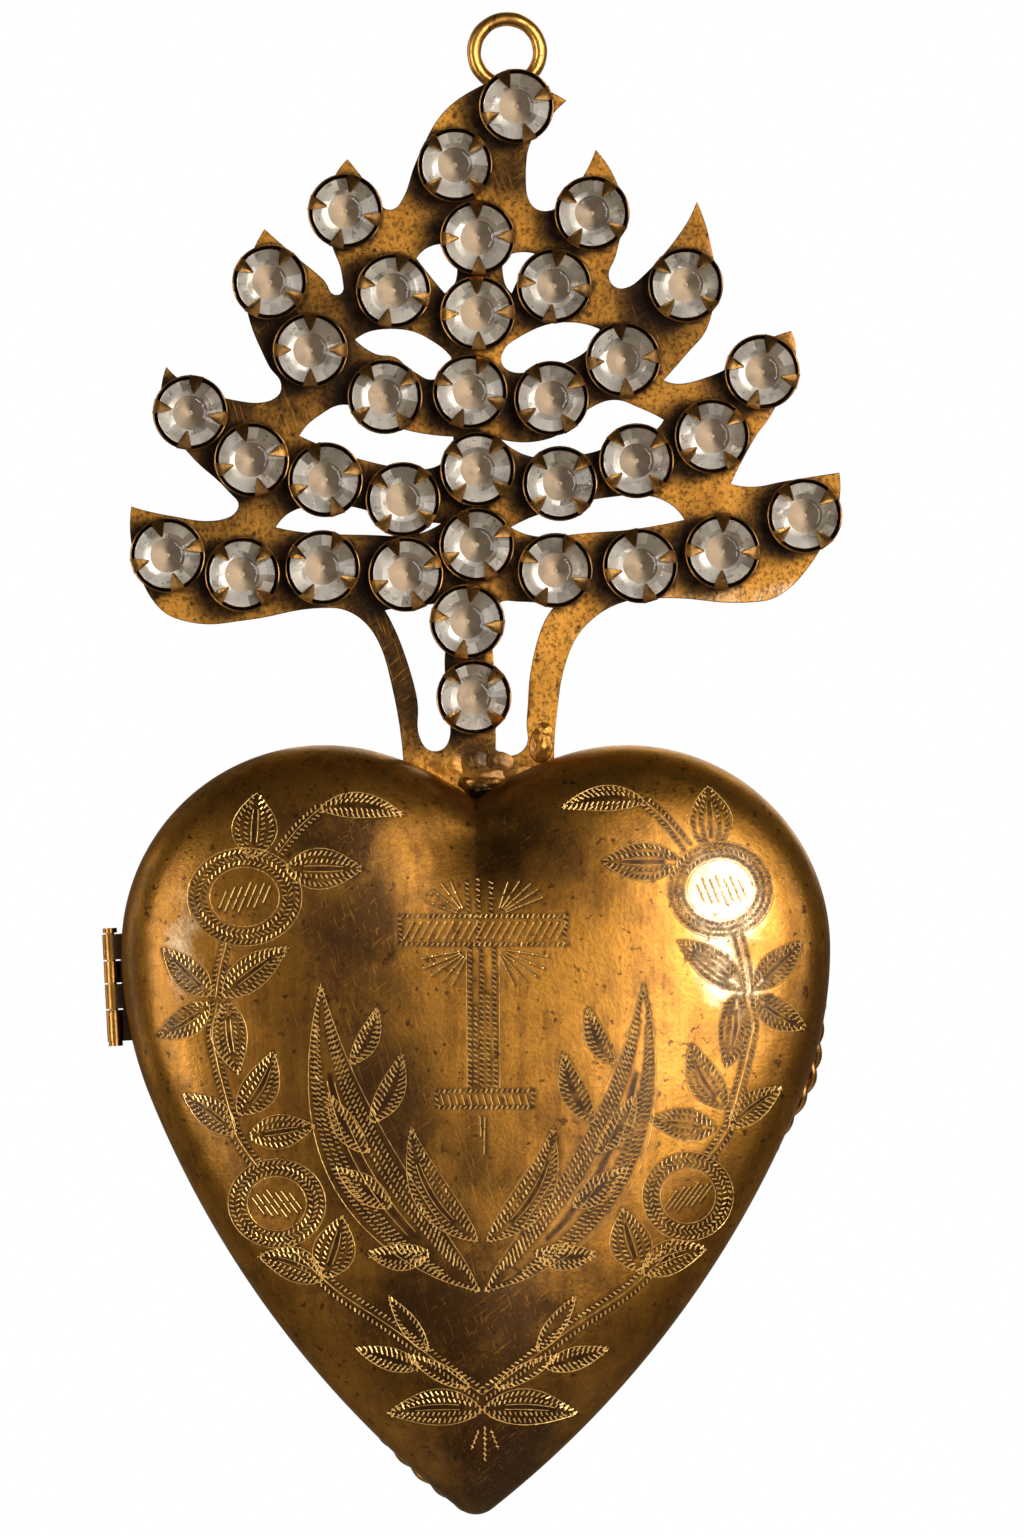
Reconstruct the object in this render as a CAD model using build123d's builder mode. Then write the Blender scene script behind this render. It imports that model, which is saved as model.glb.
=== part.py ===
"""Votive heart locket of sheet brass under a pierced flame crest of claw-set glass stones.

The heart opens: a domed lid swings on a side hinge and grips the neck of a shallower back.
Sizes are in millimetres. +Z is up, the front faces -Y and the origin is the centre of the
hanging ring.
"""

import os
from math import cos, radians, sin, sqrt

from build123d import *

os.makedirs("parts", exist_ok=True)

# Hanging ring
ring_wire = 1.5
ring_bore = 5.5
wire_sides = 8  # of the ring's and the border's wire, each with a flat to solder by

# Stones and their claw settings
stone_diameter = 7.0
stone_facets = 8
table_diameter = 3.4
crown_height = 1.2
girdle_height = 0.3
pavilion_depth = 2.3
culet_diameter = 0.6
setting_wall = 0.3
setting_floor = 0.3
setting_clearance = 0.05
claw_count = 4
claw_width = 1.5
claw_length = 1.8
claw_thickness = 0.3
claw_root = 0.2

# Crest plate
crest_thickness = 0.9
drawn_setting_width = 7.7  # the setting that the crest's points below are laid out for
straight_enough = 0.002  # bend, as a share of its length, that is drawn as a line

# Heart, in the plane of the seam
cleft_radius = 30.0
lobe_radius = 21.5
lobe_spread = 16.0  # from the heart's axis to a lobe's centre
lobe_lead = 16.0  # degrees from a lobe's top back to the start of the cleft's curve
shoulder_radius = 42.0
shoulder_turn = 22.0  # degrees
tip_radius = 2.8
least_tip_radius = 0.3
tip_drop = 59.9  # from the lobes' centres down to the tip
dome_turn = 55.0  # degrees that a dome's edge turns in before its flatter crown begins
edge_bands = 2
crown_bands = 2

# Lid
lid_wall = 0.6
lid_skirt = 2.2
lid_dome = 10.5
lid_flat = 3.4  # radius left flat at each lobe's centre
seam_gap = 0.05  # between the lid's edge and the crest behind it

# Back, with the neck that the lid's liner grips
back_wall = 0.6
back_skirt = 2.6
back_dome = 6.0
back_flat = 9.5  # radius left flat at each lobe's centre
neck_height = 1.8
grip_clearance = 0.15

# Twisted wire border round the back, behind the lid's edge
border_wire = 1.6
border_setback = 0.0  # of its outer side, from the lid's outline
border_seat = 0.02
border_gap = 0.05  # to the lid's edge
border_clearance = 0.4  # to the crest's foot and to the hinge

# Hinge
hinge_drop = 4.2  # from the lobes' centres down to the middle of the hinge
hinge_lean = 3.0  # degrees, top outwards
hinge_stand_off = 1.15  # of the pin's axis, from the lid's outline
barrel_diameter = 1.7
pin_diameter = 0.9
pin_clearance = 0.05
pin_head_diameter = 1.5
pin_head_height = 0.5
knuckle_lengths = (2.7, 2.3, 2.6, 3.3)  # from the top down, lid and back by turns
knuckle_gap = 0.15
strap_thickness = 0.6
strap_reach = 4.5
strip_clearance = 0.1

# Solder on the crest's foot
lump_sides = 8
lump_bevel = 0.3
# Each lump's place across and up from the ring's foot, its radius and its height
solder_lumps = ((-3.2, -73.3, 1.3, 0.7), (-5.6, -72.3, 1.0, 0.35), (3.3, -69.9, 1.2, 0.6))

# Crest points are across from the ring's centre and up from the ring's foot.
foot_left = -11.0
foot_right = 5.0
foot_depth = 6.0  # of the foot's blank below the cleft, before it is fitted to the heart
cleft_place = (-3.3, -75.9)
crest_edges = [
    [(foot_left, -71.4), (-12.0, -64.6), (-13.8, -58.7), (-16.6, -55.9), (-20.5, -55.5)]
    + [(-27.3, -56.7), (-32.8, -57.1), (-36.9, -55.4), (-39.5, -50.0), (-39.8, -44.7)],
    [(-39.8, -44.7), (-36.1, -45.6), (-31.0, -46.2), (-28.5, -44.9), (-29.6, -43.0)]
    + [(-33.7, -39.1), (-36.4, -35.0), (-36.1, -29.9)],
    [(-36.1, -29.9), (-33.6, -31.9), (-29.5, -33.3), (-25.5, -33.6), (-23.9, -32.1)]
    + [(-25.4, -29.5), (-27.3, -24.9), (-27.8, -20.7), (-25.7, -15.3)],
    [(-25.7, -15.3), (-22.5, -18.1), (-19.6, -20.5), (-17.9, -22.3), (-17.5, -20.1)]
    + [(-18.6, -16.9), (-19.6, -13.1), (-18.2, -9.6), (-16.9, -7.9)],
    [(-16.9, -7.9), (-14.9, -10.4), (-13.0, -13.1), (-11.4, -12.7), (-9.4, -7.6)]
    + [(-6.8, -3.0), (-2.9, -0.2), (1.0, 0.9), (4.3, -0.6), (6.3, -1.7)],
    [(6.3, -1.7), (4.4, -3.6), (2.5, -6.1), (2.0, -9.6), (2.5, -12.6)]
    + [(4.3, -13.4), (6.4, -12.1), (8.1, -9.7), (9.4, -6.9)],
    [(9.4, -6.9), (11.6, -10.3), (12.3, -14.0), (11.6, -17.9), (10.8, -20.5)]
    + [(12.3, -21.6), (14.9, -19.8), (18.5, -15.5), (20.1, -12.4)],
    [(20.1, -12.4), (21.4, -16.1), (22.1, -21.0), (21.2, -25.8), (18.9, -28.7), (16.6, -31.3)],
    [(16.6, -31.3), (18.2, -31.7), (20.6, -31.2), (23.4, -30.0), (26.6, -27.5), (30.1, -26.1)],
    [(30.1, -26.1), (30.5, -29.5), (28.1, -34.8), (26.2, -37.5), (23.7, -42.3)],
    [(23.7, -42.3), (26.2, -42.6), (29.5, -42.0), (35.2, -41.1)],
    [(35.2, -41.1), (35.0, -45.0), (32.6, -50.2), (28.9, -54.1), (24.8, -54.9)]
    + [(17.0, -54.4), (11.8, -55.0), (8.0, -57.7), (6.1, -61.7), (5.2, -67.5), (foot_right, -70.9)],
]
# Each opening is two curves that share their ends.
crest_windows = [
    (
        [(-9.6, -18.4), (-7.2, -16.9), (-5.6, -18.0), (-5.4, -20.7), (-6.6, -22.1)],
        [(-9.6, -18.4), (-7.8, -20.7), (-6.6, -22.1)],
    ),
    (
        [(2.9, -17.9), (1.0, -17.8), (-0.3, -18.5), (-0.3, -20.8), (0.5, -22.1)],
        [(2.9, -17.9), (1.5, -20.0), (0.5, -22.1)],
    ),
    (
        [(-16.1, -27.0), (-13.9, -26.0), (-10.2, -26.1), (-7.4, -27.5), (-5.9, -28.9)],
        [(-16.1, -27.0), (-14.0, -28.5), (-11.8, -28.9), (-10.2, -30.2), (-7.6, -31.2), (-5.9, -28.9)],
    ),
    (
        [(-0.4, -28.3), (0.4, -27.3), (4.0, -25.5), (7.1, -25.2), (9.8, -25.9)],
        [(-0.4, -28.3), (0.0, -30.2), (3.0, -30.4), (6.1, -29.5), (8.5, -28.1), (9.8, -25.9)],
    ),
    (
        [(-22.0, -37.2), (-20.4, -35.4), (-17.2, -33.9), (-13.5, -35.5), (-10.3, -36.7), (-5.7, -37.3)],
        [(-22.0, -37.2), (-19.0, -38.5), (-15.5, -39.7), (-11.5, -40.5), (-7.2, -40.3), (-5.7, -37.3)],
    ),
    (
        [(-0.6, -37.6), (4.8, -37.4), (8.6, -34.4), (11.4, -33.4), (14.4, -34.4), (16.6, -35.5)],
        [(-0.6, -37.6), (3.0, -39.5), (8.4, -39.1), (12.0, -37.9), (15.4, -36.8), (16.6, -35.5)],
    ),
    (
        [(-24.5, -46.9), (-22.3, -45.0), (-18.0, -44.5), (-12.0, -45.8), (-7.0, -46.5)],
        [(-24.5, -46.9), (-20.8, -47.5), (-15.0, -47.7), (-10.0, -47.7), (-7.0, -46.5)],
    ),
    (
        [(0.4, -46.9), (3.5, -45.5), (9.5, -43.9), (15.6, -43.7), (18.8, -46.1)],
        [(0.4, -46.9), (3.5, -47.9), (8.4, -47.5), (13.4, -47.1), (18.8, -46.1)],
    ),
    (
        [(-12.9, -55.7), (-11.2, -59.3), (-9.6, -64.6), (-8.9, -69.9), (-6.4, -70.0)],
        [(-12.9, -55.7), (-9.5, -55.2), (-6.7, -55.6), (-6.6, -62.0), (-6.0, -68.4), (-6.4, -70.0)],
    ),
    (
        [(-1.2, -70.4), (-1.2, -68.4), (-1.4, -62.0), (-1.2, -55.4), (2.0, -54.8), (4.9, -55.4)],
        [(-1.2, -70.4), (1.7, -70.5), (2.1, -67.0), (2.5, -62.1), (3.6, -57.7), (4.9, -55.4)],
    ),
]
# Stones along each arm of the crest: across, up, and the turn of the first claw in degrees
crest_arms = {
    "stem": [(-3.5, -64.9, 45), (-4.2, -56.9, 80), (-3.2, -48.8, 25), (-3.1, -40.8, 52)]
    + [(-3.9, -32.6, 68), (-3.1, -24.3, 2), (-3.1, -16.3, 2)],
    "top": [(-5.5, -8.6, 44), (1.0, -2.4, 22)],
    "lower_left": [(-35.9, -49.9, 17), (-28.0, -51.9, 44), (-19.5, -51.2, 62), (-10.7, -51.9, 22)],
    "lower_right": [(5.1, -51.5, 65), (14.1, -51.0, 16), (22.8, -49.5, 88), (31.5, -45.7, 38)],
    "second_left": [(-33.5, -34.8, 80), (-27.0, -39.8, 17), (-19.2, -41.9, 20), (-11.0, -44.0, 53)],
    "second_right": [(5.6, -42.3, 43), (13.7, -39.9, 41), (21.7, -37.3, 37), (27.0, -30.5, 75)],
    "third_left": [(-25.1, -21.0, 60), (-20.8, -28.2, 0), (-12.9, -33.1, 36)],
    "third_right": [(4.7, -33.3, 33), (12.3, -29.2, 6), (18.9, -21.3, 52)],
    "fourth_left": [(-17.1, -13.5, 76), (-12.0, -21.9, 75)],
    "fourth_right": [(5.0, -21.4, 82), (9.0, -13.7, 57)],
}

# Sizes that follow from those above
stone_radius = stone_diameter / 2
pocket_radius = stone_radius + setting_clearance
setting_radius = pocket_radius + setting_wall
setting_height = setting_floor + pavilion_depth + girdle_height
crest_step = 2 * setting_radius / drawn_setting_width
ring_radius = (ring_bore + ring_wire) / 2
crest_back_y = -ring_wire / 2
crest_front_y = crest_back_y - crest_thickness
seam_y = crest_front_y - seam_gap
neck_inset = border_setback + border_wire + border_seat
liner_inset = neck_inset - grip_clearance
barrel_radius = barrel_diameter / 2
pin_radius = pin_diameter / 2
hinge_length = sum(knuckle_lengths) + knuckle_gap * (len(knuckle_lengths) - 1)


def crest_point(across, up):
    """Place in the crest's plane, as its X and Z."""
    return (across * crest_step, up * crest_step - ring_radius)


def export(part, name):
    """Label a finished piece and write its file."""
    part.label = name
    export_step(part, f"parts/{name}.step")


# Heart outline: tangent arcs in the seam's plane, about the height of the lobes' centres

lobe_centre = Vector(lobe_spread, 0)
lead_way = Vector(-sin(radians(lobe_lead)), cos(radians(lobe_lead)))
cleft_centre = lobe_centre - lead_way * (cleft_radius - lobe_radius)
cleft = Vector(0, cleft_centre.Y + sqrt(cleft_radius**2 - cleft_centre.X**2))
cleft_way = (cleft - cleft_centre).normalized()
shoulder_centre = lobe_centre + Vector(lobe_radius - shoulder_radius, 0)
turn_way = Vector(cos(radians(shoulder_turn)), -sin(radians(shoulder_turn)))
shoulder_end = shoulder_centre + turn_way * shoulder_radius
# The flank leaves the shoulder smoothly and touches the tip's circle from inside.
to_shoulder = shoulder_end - Vector(0, tip_radius - tip_drop)
flank_share = 2 * (to_shoulder.dot(turn_way) - tip_radius)
flank_radius = (to_shoulder.dot(to_shoulder) - tip_radius**2) / flank_share
flank_centre = shoulder_end - turn_way * flank_radius

heart_x, cleft_z = crest_point(*cleft_place)
lobes_z = cleft_z - cleft.Y
seam_plane = Plane(origin=(heart_x, seam_y, lobes_z), x_dir=(1, 0, 0), z_dir=(0, -1, 0))


def flip(way):
    """The same way on the other side of the heart's axis."""
    return Vector(-way.X, way.Y)


def heart_arcs(inset):
    """Arcs of the heart's right side, then the two across its axis, at the cleft and at the tip.

    Each is a centre, a radius, its first and last ways from there, and 1 if inward is away from
    the centre or -1.
    """
    tip_r = max(tip_radius - inset, least_tip_radius)
    tip_reach = sqrt((flank_radius - inset - tip_r) ** 2 - flank_centre.X**2)
    tip_centre = Vector(0, flank_centre.Y - tip_reach)
    tip_way = (tip_centre - flank_centre).normalized()
    right_way = Vector(1, 0)
    side_arcs = [
        (cleft_centre, cleft_radius - inset, cleft_way, lead_way, -1),
        (lobe_centre, lobe_radius - inset, lead_way, right_way, -1),
        (shoulder_centre, shoulder_radius - inset, right_way, turn_way, -1),
        (flank_centre, flank_radius - inset, turn_way, tip_way, -1),
    ]
    axis_arcs = [
        (cleft, inset, flip(-cleft_way), -cleft_way, 1),
        (tip_centre, tip_r, tip_way, flip(tip_way), -1),
    ]
    return side_arcs, axis_arcs


def draw_arc(centre, radius, first, last, side=1):
    """Arc in the plane of the outline, or its reflection where the side is -1."""
    points = [centre + way * radius for way in (first, (first + last).normalized(), last)]
    ThreePointArc(*[(side * point.X, point.Y) for point in points])


def heart_face(offset, inset):
    """Heart in front of the seam by the offset, or behind it by a negative one."""
    side_arcs, axis_arcs = heart_arcs(inset)
    with BuildSketch(seam_plane.offset(offset)) as heart:
        with BuildLine():
            for *arc, inward in side_arcs:
                draw_arc(*arc)
                draw_arc(*arc, side=-1)
            for centre, radius, first, last, inward in axis_arcs:
                if radius > 0:
                    draw_arc(centre, radius, first, last)
        make_face()
    return heart.sketch.face()


def arc_plane(centre, way):
    """Upright plane through an arc's centre, with X outwards along the way."""
    return Plane(origin=centre, x_dir=way, z_dir=(way.Y, -way.X, 0))


def dome_profile(reach, rise):
    """Reach and rise along an upright edge arc, then a crown arc that ends level."""
    turn = radians(dome_turn)
    edge_radius = (rise * cos(turn) - reach * (1 - sin(turn))) / (cos(turn) + sin(turn) - 1)
    crown_radius = edge_radius + (reach - edge_radius) / cos(turn)
    edge = [turn * band / edge_bands for band in range(edge_bands)]
    crown = [turn + (radians(90) - turn) * band / crown_bands for band in range(crown_bands + 1)]
    places = [(edge_radius * (1 - cos(way)), edge_radius * sin(way)) for way in edge]
    return places + [(reach - crown_radius * cos(way), rise - crown_radius * (1 - sin(way))) for way in crown]


def dome_sector(arc, reach, rise):
    """Profile of a dome, carried round one arc of the outline."""
    centre, radius, first, last, inward = arc
    places = [(radius + inward * run, height) for run, height in dome_profile(reach, rise)]
    with BuildPart() as sector:
        with BuildSketch(arc_plane(centre, first)):
            with BuildLine():
                slope = Polyline(*places)
                Polyline(slope @ 1, (radius + inward * reach, 0), (radius, 0))
            make_face()
            split(bisect_by=Plane.YZ)
        revolve(axis=Axis(centre, (0, 0, inward)), revolution_arc=first.get_angle(last))
    return sector.part


def dome(inset, rise, flat):
    """Domed heart that stands on XY."""
    reach = lobe_radius - inset - flat
    side_arcs, axis_arcs = heart_arcs(inset)
    with BuildPart() as domed:
        for arc in side_arcs:
            add(dome_sector(arc, reach, rise))
        split(bisect_by=Plane.YZ)
        mirror(about=Plane.YZ)
        for arc in axis_arcs:
            add(dome_sector(arc, reach, rise))
        with BuildSketch():
            add(heart_face(0, inset + reach).moved(seam_plane.location.inverse()))
        extrude(amount=rise)
    return domed.part


# Lid

lid_outside = dome(0, lid_dome, lid_flat)
lid_inside = dome(lid_wall, lid_dome - lid_wall, lid_flat)
with BuildPart() as front_shell:
    extrude(heart_face(0, 0), amount=lid_skirt)
    with Locations(seam_plane.offset(lid_skirt)):
        add(lid_outside)
    extrude(heart_face(0, lid_wall), amount=lid_skirt, mode=Mode.SUBTRACT)
    with Locations(seam_plane.offset(lid_skirt)):
        add(lid_inside, mode=Mode.SUBTRACT)
export(front_shell.part, "front_shell")

with BuildPart() as lid_liner:
    extrude(heart_face(0, lid_wall), amount=lid_skirt)
    extrude(heart_face(0, liner_inset), amount=lid_skirt, mode=Mode.SUBTRACT)
export(lid_liner.part, "lid_liner")

# Back

inner_inset = neck_inset + back_wall
back_outside = dome(neck_inset, back_dome, back_flat)
back_inside = dome(inner_inset, back_dome - back_wall, back_flat)
back_plane = Plane(origin=seam_plane.offset(-back_skirt).origin, x_dir=(-1, 0, 0), z_dir=(0, 1, 0))
with BuildPart() as back_shell:
    extrude(heart_face(neck_height, neck_inset), amount=-neck_height - back_skirt)
    with Locations(back_plane):
        add(back_outside)
    extrude(heart_face(neck_height, inner_inset), amount=-neck_height - back_skirt, mode=Mode.SUBTRACT)
    with Locations(back_plane):
        add(back_inside, mode=Mode.SUBTRACT)
export(back_shell.part, "back_shell")

# Hinge, on an axis that leans with the heart's edge

hinge_edge = shoulder_centre.X + sqrt(shoulder_radius**2 - hinge_drop**2)
hinge_plane = Plane(
    origin=(heart_x - hinge_edge - hinge_stand_off, seam_y, lobes_z - hinge_drop),
    x_dir=(cos(radians(hinge_lean)), 0, sin(radians(hinge_lean))),
    z_dir=(-sin(radians(hinge_lean)), 0, cos(radians(hinge_lean))),
)
knuckle_tops = [
    hinge_length / 2 - sum(knuckle_lengths[:place]) - knuckle_gap * place
    for place in range(len(knuckle_lengths))
]
knuckle_rows = list(zip(knuckle_tops, knuckle_lengths))
strap_middle = barrel_radius - strap_thickness / 2


def knuckle_face(top, bore_radius, strap_y):
    """Section of a knuckle, rolled from a strap that reaches into the heart."""
    with BuildSketch(hinge_plane.offset(top)) as knuckle:
        Circle(barrel_radius)
        with Locations((strap_reach / 2, strap_y)):
            Rectangle(strap_reach, strap_thickness)
        Circle(bore_radius, mode=Mode.SUBTRACT)
    return knuckle.sketch.face()


with BuildPart() as lid_hinge_leaf:
    for top, length in knuckle_rows[0::2]:
        extrude(knuckle_face(top, pin_radius + pin_clearance, -strap_middle), amount=-length)
    extrude(heart_face(0, 0), amount=lid_skirt, mode=Mode.SUBTRACT)
export(lid_hinge_leaf.part, "lid_hinge_leaf")

with BuildPart() as back_hinge_leaf:
    for top, length in knuckle_rows[1::2]:
        extrude(knuckle_face(top, pin_radius, strap_middle), amount=-length)
    strip_start = barrel_radius + strip_clearance
    with BuildSketch(hinge_plane.offset(hinge_length / 2)):
        with Locations(((strip_start + strap_reach) / 2, strap_middle)):
            Rectangle(strap_reach - strip_start, strap_thickness)
    extrude(amount=-hinge_length)
    extrude(heart_face(0, neck_inset), amount=-back_skirt, mode=Mode.SUBTRACT)
export(back_hinge_leaf.part, "back_hinge_leaf")

with BuildPart() as hinge_pin:
    with BuildSketch(hinge_plane.offset(-hinge_length / 2)):
        Circle(pin_radius)
    extrude(amount=hinge_length + knuckle_gap)
    for base, way in ((hinge_length / 2 + knuckle_gap, 1), (-hinge_length / 2, -1)):
        with BuildSketch(hinge_plane.offset(base)):
            Circle(pin_head_diameter / 2)
        extrude(amount=way * pin_head_height)
export(hinge_pin.part, "hinge_pin")

# Twisted wire border, open at the crest's foot and at the hinge

foot_reach = max(heart_x - crest_point(foot_left, 0)[0], crest_point(foot_right, 0)[0] - heart_x)
border_radius = border_wire / 2
border_sides, border_ends = heart_arcs(border_setback + border_radius)
with BuildPart() as border_round:
    for centre, radius, first, last, inward in border_sides + border_ends[1:]:
        with BuildSketch(arc_plane(centre, first)):
            with Locations((radius, 0)):
                RegularPolygon(border_radius, wire_sides, major_radius=False, rotation=180 / wire_sides)
        revolve(axis=Axis(centre, (0, 0, inward)), revolution_arc=first.get_angle(last))
    mirror(about=Plane.YZ)
with BuildPart() as rope_border:
    with Locations(seam_plane.offset(-border_gap - border_radius)):
        add(border_round.part)
    with BuildSketch(seam_plane):
        with Locations(cleft):
            Rectangle(2 * (foot_reach + border_clearance), 2 * lobe_radius)
    extrude(amount=-back_skirt, mode=Mode.SUBTRACT)
    with BuildSketch(hinge_plane.offset(hinge_length / 2 + border_clearance)):
        Rectangle(2 * strap_reach, 2 * strap_reach)
    extrude(amount=-hinge_length - 2 * border_clearance, mode=Mode.SUBTRACT)
export(rope_border.part, "rope_border")

# Crest plate, with its foot fitted to the back's cleft

crest_plane = Plane(origin=(0, crest_back_y, 0), x_dir=(1, 0, 0), z_dir=(0, -1, 0))
foot_bottom = cleft_place[1] - foot_depth


def mirror_way(way, chord):
    """Way at the other end of an arc along the chord."""
    along = chord.normalized()
    return along * (2 * along.dot(way)) - way


def draw_bend(start, end, way):
    """Arc that sets out along the way, or a line where it would be all but straight."""
    step = end - start
    if abs(way.normalized().cross(step.normalized()).Z) < straight_enough:
        Line(start, end)
    else:
        TangentArc(start, end, tangent=way)


def draw_curve(points):
    """Smooth curve through points of the crest, as two tangent arcs from each to the next."""
    places = [Vector(*crest_point(*point)) for point in points]
    ways = [(after - before).normalized() for before, after in zip(places, places[2:])]
    ways.insert(0, mirror_way(ways[0], places[1] - places[0]))
    ways.append(mirror_way(ways[-1], places[-1] - places[-2]))
    for start, end, leave, arrive in zip(places, places[1:], ways, ways[1:]):
        step = end - start
        lead = step.dot(leave + arrive)
        spread = 2 * (1 - leave.dot(arrive)) * step.dot(step)
        reach = step.dot(step) / (lead + sqrt(lead**2 + spread))
        out = start + leave * reach
        back = end - arrive * reach
        middle = (out + back) * 0.5
        draw_bend(start, middle, leave)
        draw_bend(middle, end, back - out)


with BuildPart() as crest_plate:
    with BuildSketch(crest_plane):
        with BuildLine():
            for edge in crest_edges:
                draw_curve(edge)
            Polyline(
                crest_point(*crest_edges[-1][-1]),
                crest_point(foot_right, foot_bottom),
                crest_point(foot_left, foot_bottom),
                crest_point(*crest_edges[0][0]),
            )
        make_face()
        for curves in crest_windows:
            with BuildLine():
                for curve in curves:
                    draw_curve(curve)
            make_face(mode=Mode.SUBTRACT)
    extrude(amount=crest_thickness)
    extrude(heart_face(0, neck_inset), amount=-back_skirt, mode=Mode.SUBTRACT)
export(crest_plate.part, "crest_plate")

with BuildPart() as foot_solder:
    for across, up, radius, height in solder_lumps:
        lump_x, lump_z = crest_point(across, up)
        with BuildSketch(Plane(origin=(lump_x, crest_front_y, lump_z), x_dir=(1, 0, 0), z_dir=(0, -1, 0))):
            RegularPolygon(radius, lump_sides)
        extrude(amount=height)
    tops = foot_solder.faces().filter_by(Plane.XZ).filter_by(lambda face: face.normal_at().Y < 0)
    for top in tops:
        chamfer(top.edges(), length=lump_bevel)
export(foot_solder.part, "foot_solder")

# Hanging ring

with BuildPart() as hanging_ring:
    with BuildSketch(Plane.XY):
        with Locations((ring_radius, 0)):
            RegularPolygon(ring_wire / 2, wire_sides, major_radius=False, rotation=180 / wire_sides)
    revolve(axis=Axis.Y)
export(hanging_ring.part, "hanging_ring")


# Stones and settings

def setting_plane(across, up, turn):
    """On the crest's face at a stone's place, with X towards its first claw."""
    x, z = crest_point(across, up)
    return Plane(
        origin=(x, crest_front_y, z),
        x_dir=(cos(radians(turn)), 0, sin(radians(turn))),
        z_dir=(0, -1, 0),
    )


facet_turn = 180 / stone_facets  # puts the middle of a side towards the first claw
side_share = cos(radians(facet_turn))
crown_run = (stone_diameter - table_diameter) / 2 * side_share
pavilion_run = (stone_diameter - culet_diameter) / 2 * side_share


def claw_plane(place, turn):
    """Plane along the crown of the stone, from the setting's rim inwards."""
    spoke = Vector(cos(radians(turn)), sin(radians(turn)), 0)
    root = spoke * pocket_radius * side_share + Vector(0, 0, setting_height)
    inward = Vector(0, 0, crown_height) - spoke * crown_run
    outward = Vector(0, 0, crown_run) + spoke * crown_height
    return place * Plane(origin=root, x_dir=inward, z_dir=outward)


for arm, stones in crest_arms.items():
    places = [setting_plane(*stone) for stone in stones]
    with BuildPart() as settings:
        for place in places:
            with BuildSketch(place):
                RegularPolygon(setting_radius, stone_facets, rotation=facet_turn)
        extrude(amount=setting_height)
        for place in places:
            with BuildSketch(place.offset(setting_floor)):
                RegularPolygon(pocket_radius, stone_facets, rotation=facet_turn)
        extrude(amount=setting_height - setting_floor, mode=Mode.SUBTRACT)
        for place in places:
            for claw in range(claw_count):
                with BuildSketch(claw_plane(place, 360 / claw_count * claw)):
                    Polygon(
                        (-claw_root, -claw_width / 2),
                        (claw_length, 0),
                        (-claw_root, claw_width / 2),
                        align=None,
                    )
        extrude(amount=claw_thickness)
    export(settings.part, f"settings_{arm}")
    for number, place in enumerate(places, start=1):
        with BuildPart() as stone:
            with BuildSketch(place.offset(setting_floor)):
                RegularPolygon(stone_radius, stone_facets, rotation=facet_turn)
            extrude(amount=pavilion_depth + girdle_height + crown_height)
            culet, *_, table = stone.faces().sort_by(Axis(place.origin, place.z_dir))
            chamfer(table.edges(), length=crown_run, length2=crown_height, reference=table)
            chamfer(culet.edges(), length=pavilion_run, length2=pavilion_depth, reference=culet)
        export(stone.part, f"stone_{arm}_{number}")
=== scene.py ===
"""Votive heart locket in antique brass: chased lid, pierced flame crest, claw-set glass stones.

Shapes are worked out in millimetres and written to meshes in metres. +Z is up and the front faces -Y.
"""

from math import atan2, ceil, cos, pi, radians, sin, sqrt, tan

import bmesh
import bpy
import numpy as np
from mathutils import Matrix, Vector, noise
from mathutils.geometry import delaunay_2d_cdt


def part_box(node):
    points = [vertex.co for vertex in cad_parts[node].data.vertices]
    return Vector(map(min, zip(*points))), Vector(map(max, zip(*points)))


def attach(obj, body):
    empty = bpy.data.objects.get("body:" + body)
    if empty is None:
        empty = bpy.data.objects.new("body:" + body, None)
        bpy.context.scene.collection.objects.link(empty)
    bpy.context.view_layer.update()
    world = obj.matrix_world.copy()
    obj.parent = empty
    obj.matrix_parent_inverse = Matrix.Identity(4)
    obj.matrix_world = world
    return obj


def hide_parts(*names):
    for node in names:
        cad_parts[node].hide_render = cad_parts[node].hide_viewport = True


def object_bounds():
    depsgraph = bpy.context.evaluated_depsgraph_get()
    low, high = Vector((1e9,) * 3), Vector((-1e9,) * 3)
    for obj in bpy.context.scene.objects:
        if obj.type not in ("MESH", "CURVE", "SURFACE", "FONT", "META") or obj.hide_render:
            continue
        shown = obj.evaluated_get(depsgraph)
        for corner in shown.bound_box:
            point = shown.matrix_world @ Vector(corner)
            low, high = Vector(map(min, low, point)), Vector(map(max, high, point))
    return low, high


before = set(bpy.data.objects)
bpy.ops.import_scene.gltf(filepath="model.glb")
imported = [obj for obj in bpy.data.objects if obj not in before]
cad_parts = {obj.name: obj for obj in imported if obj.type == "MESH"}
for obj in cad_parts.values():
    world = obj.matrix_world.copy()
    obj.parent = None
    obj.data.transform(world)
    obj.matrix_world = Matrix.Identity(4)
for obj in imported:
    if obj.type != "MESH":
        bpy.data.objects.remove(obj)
cad_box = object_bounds()

MM = 0.001
rng = np.random.default_rng(7)

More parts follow.
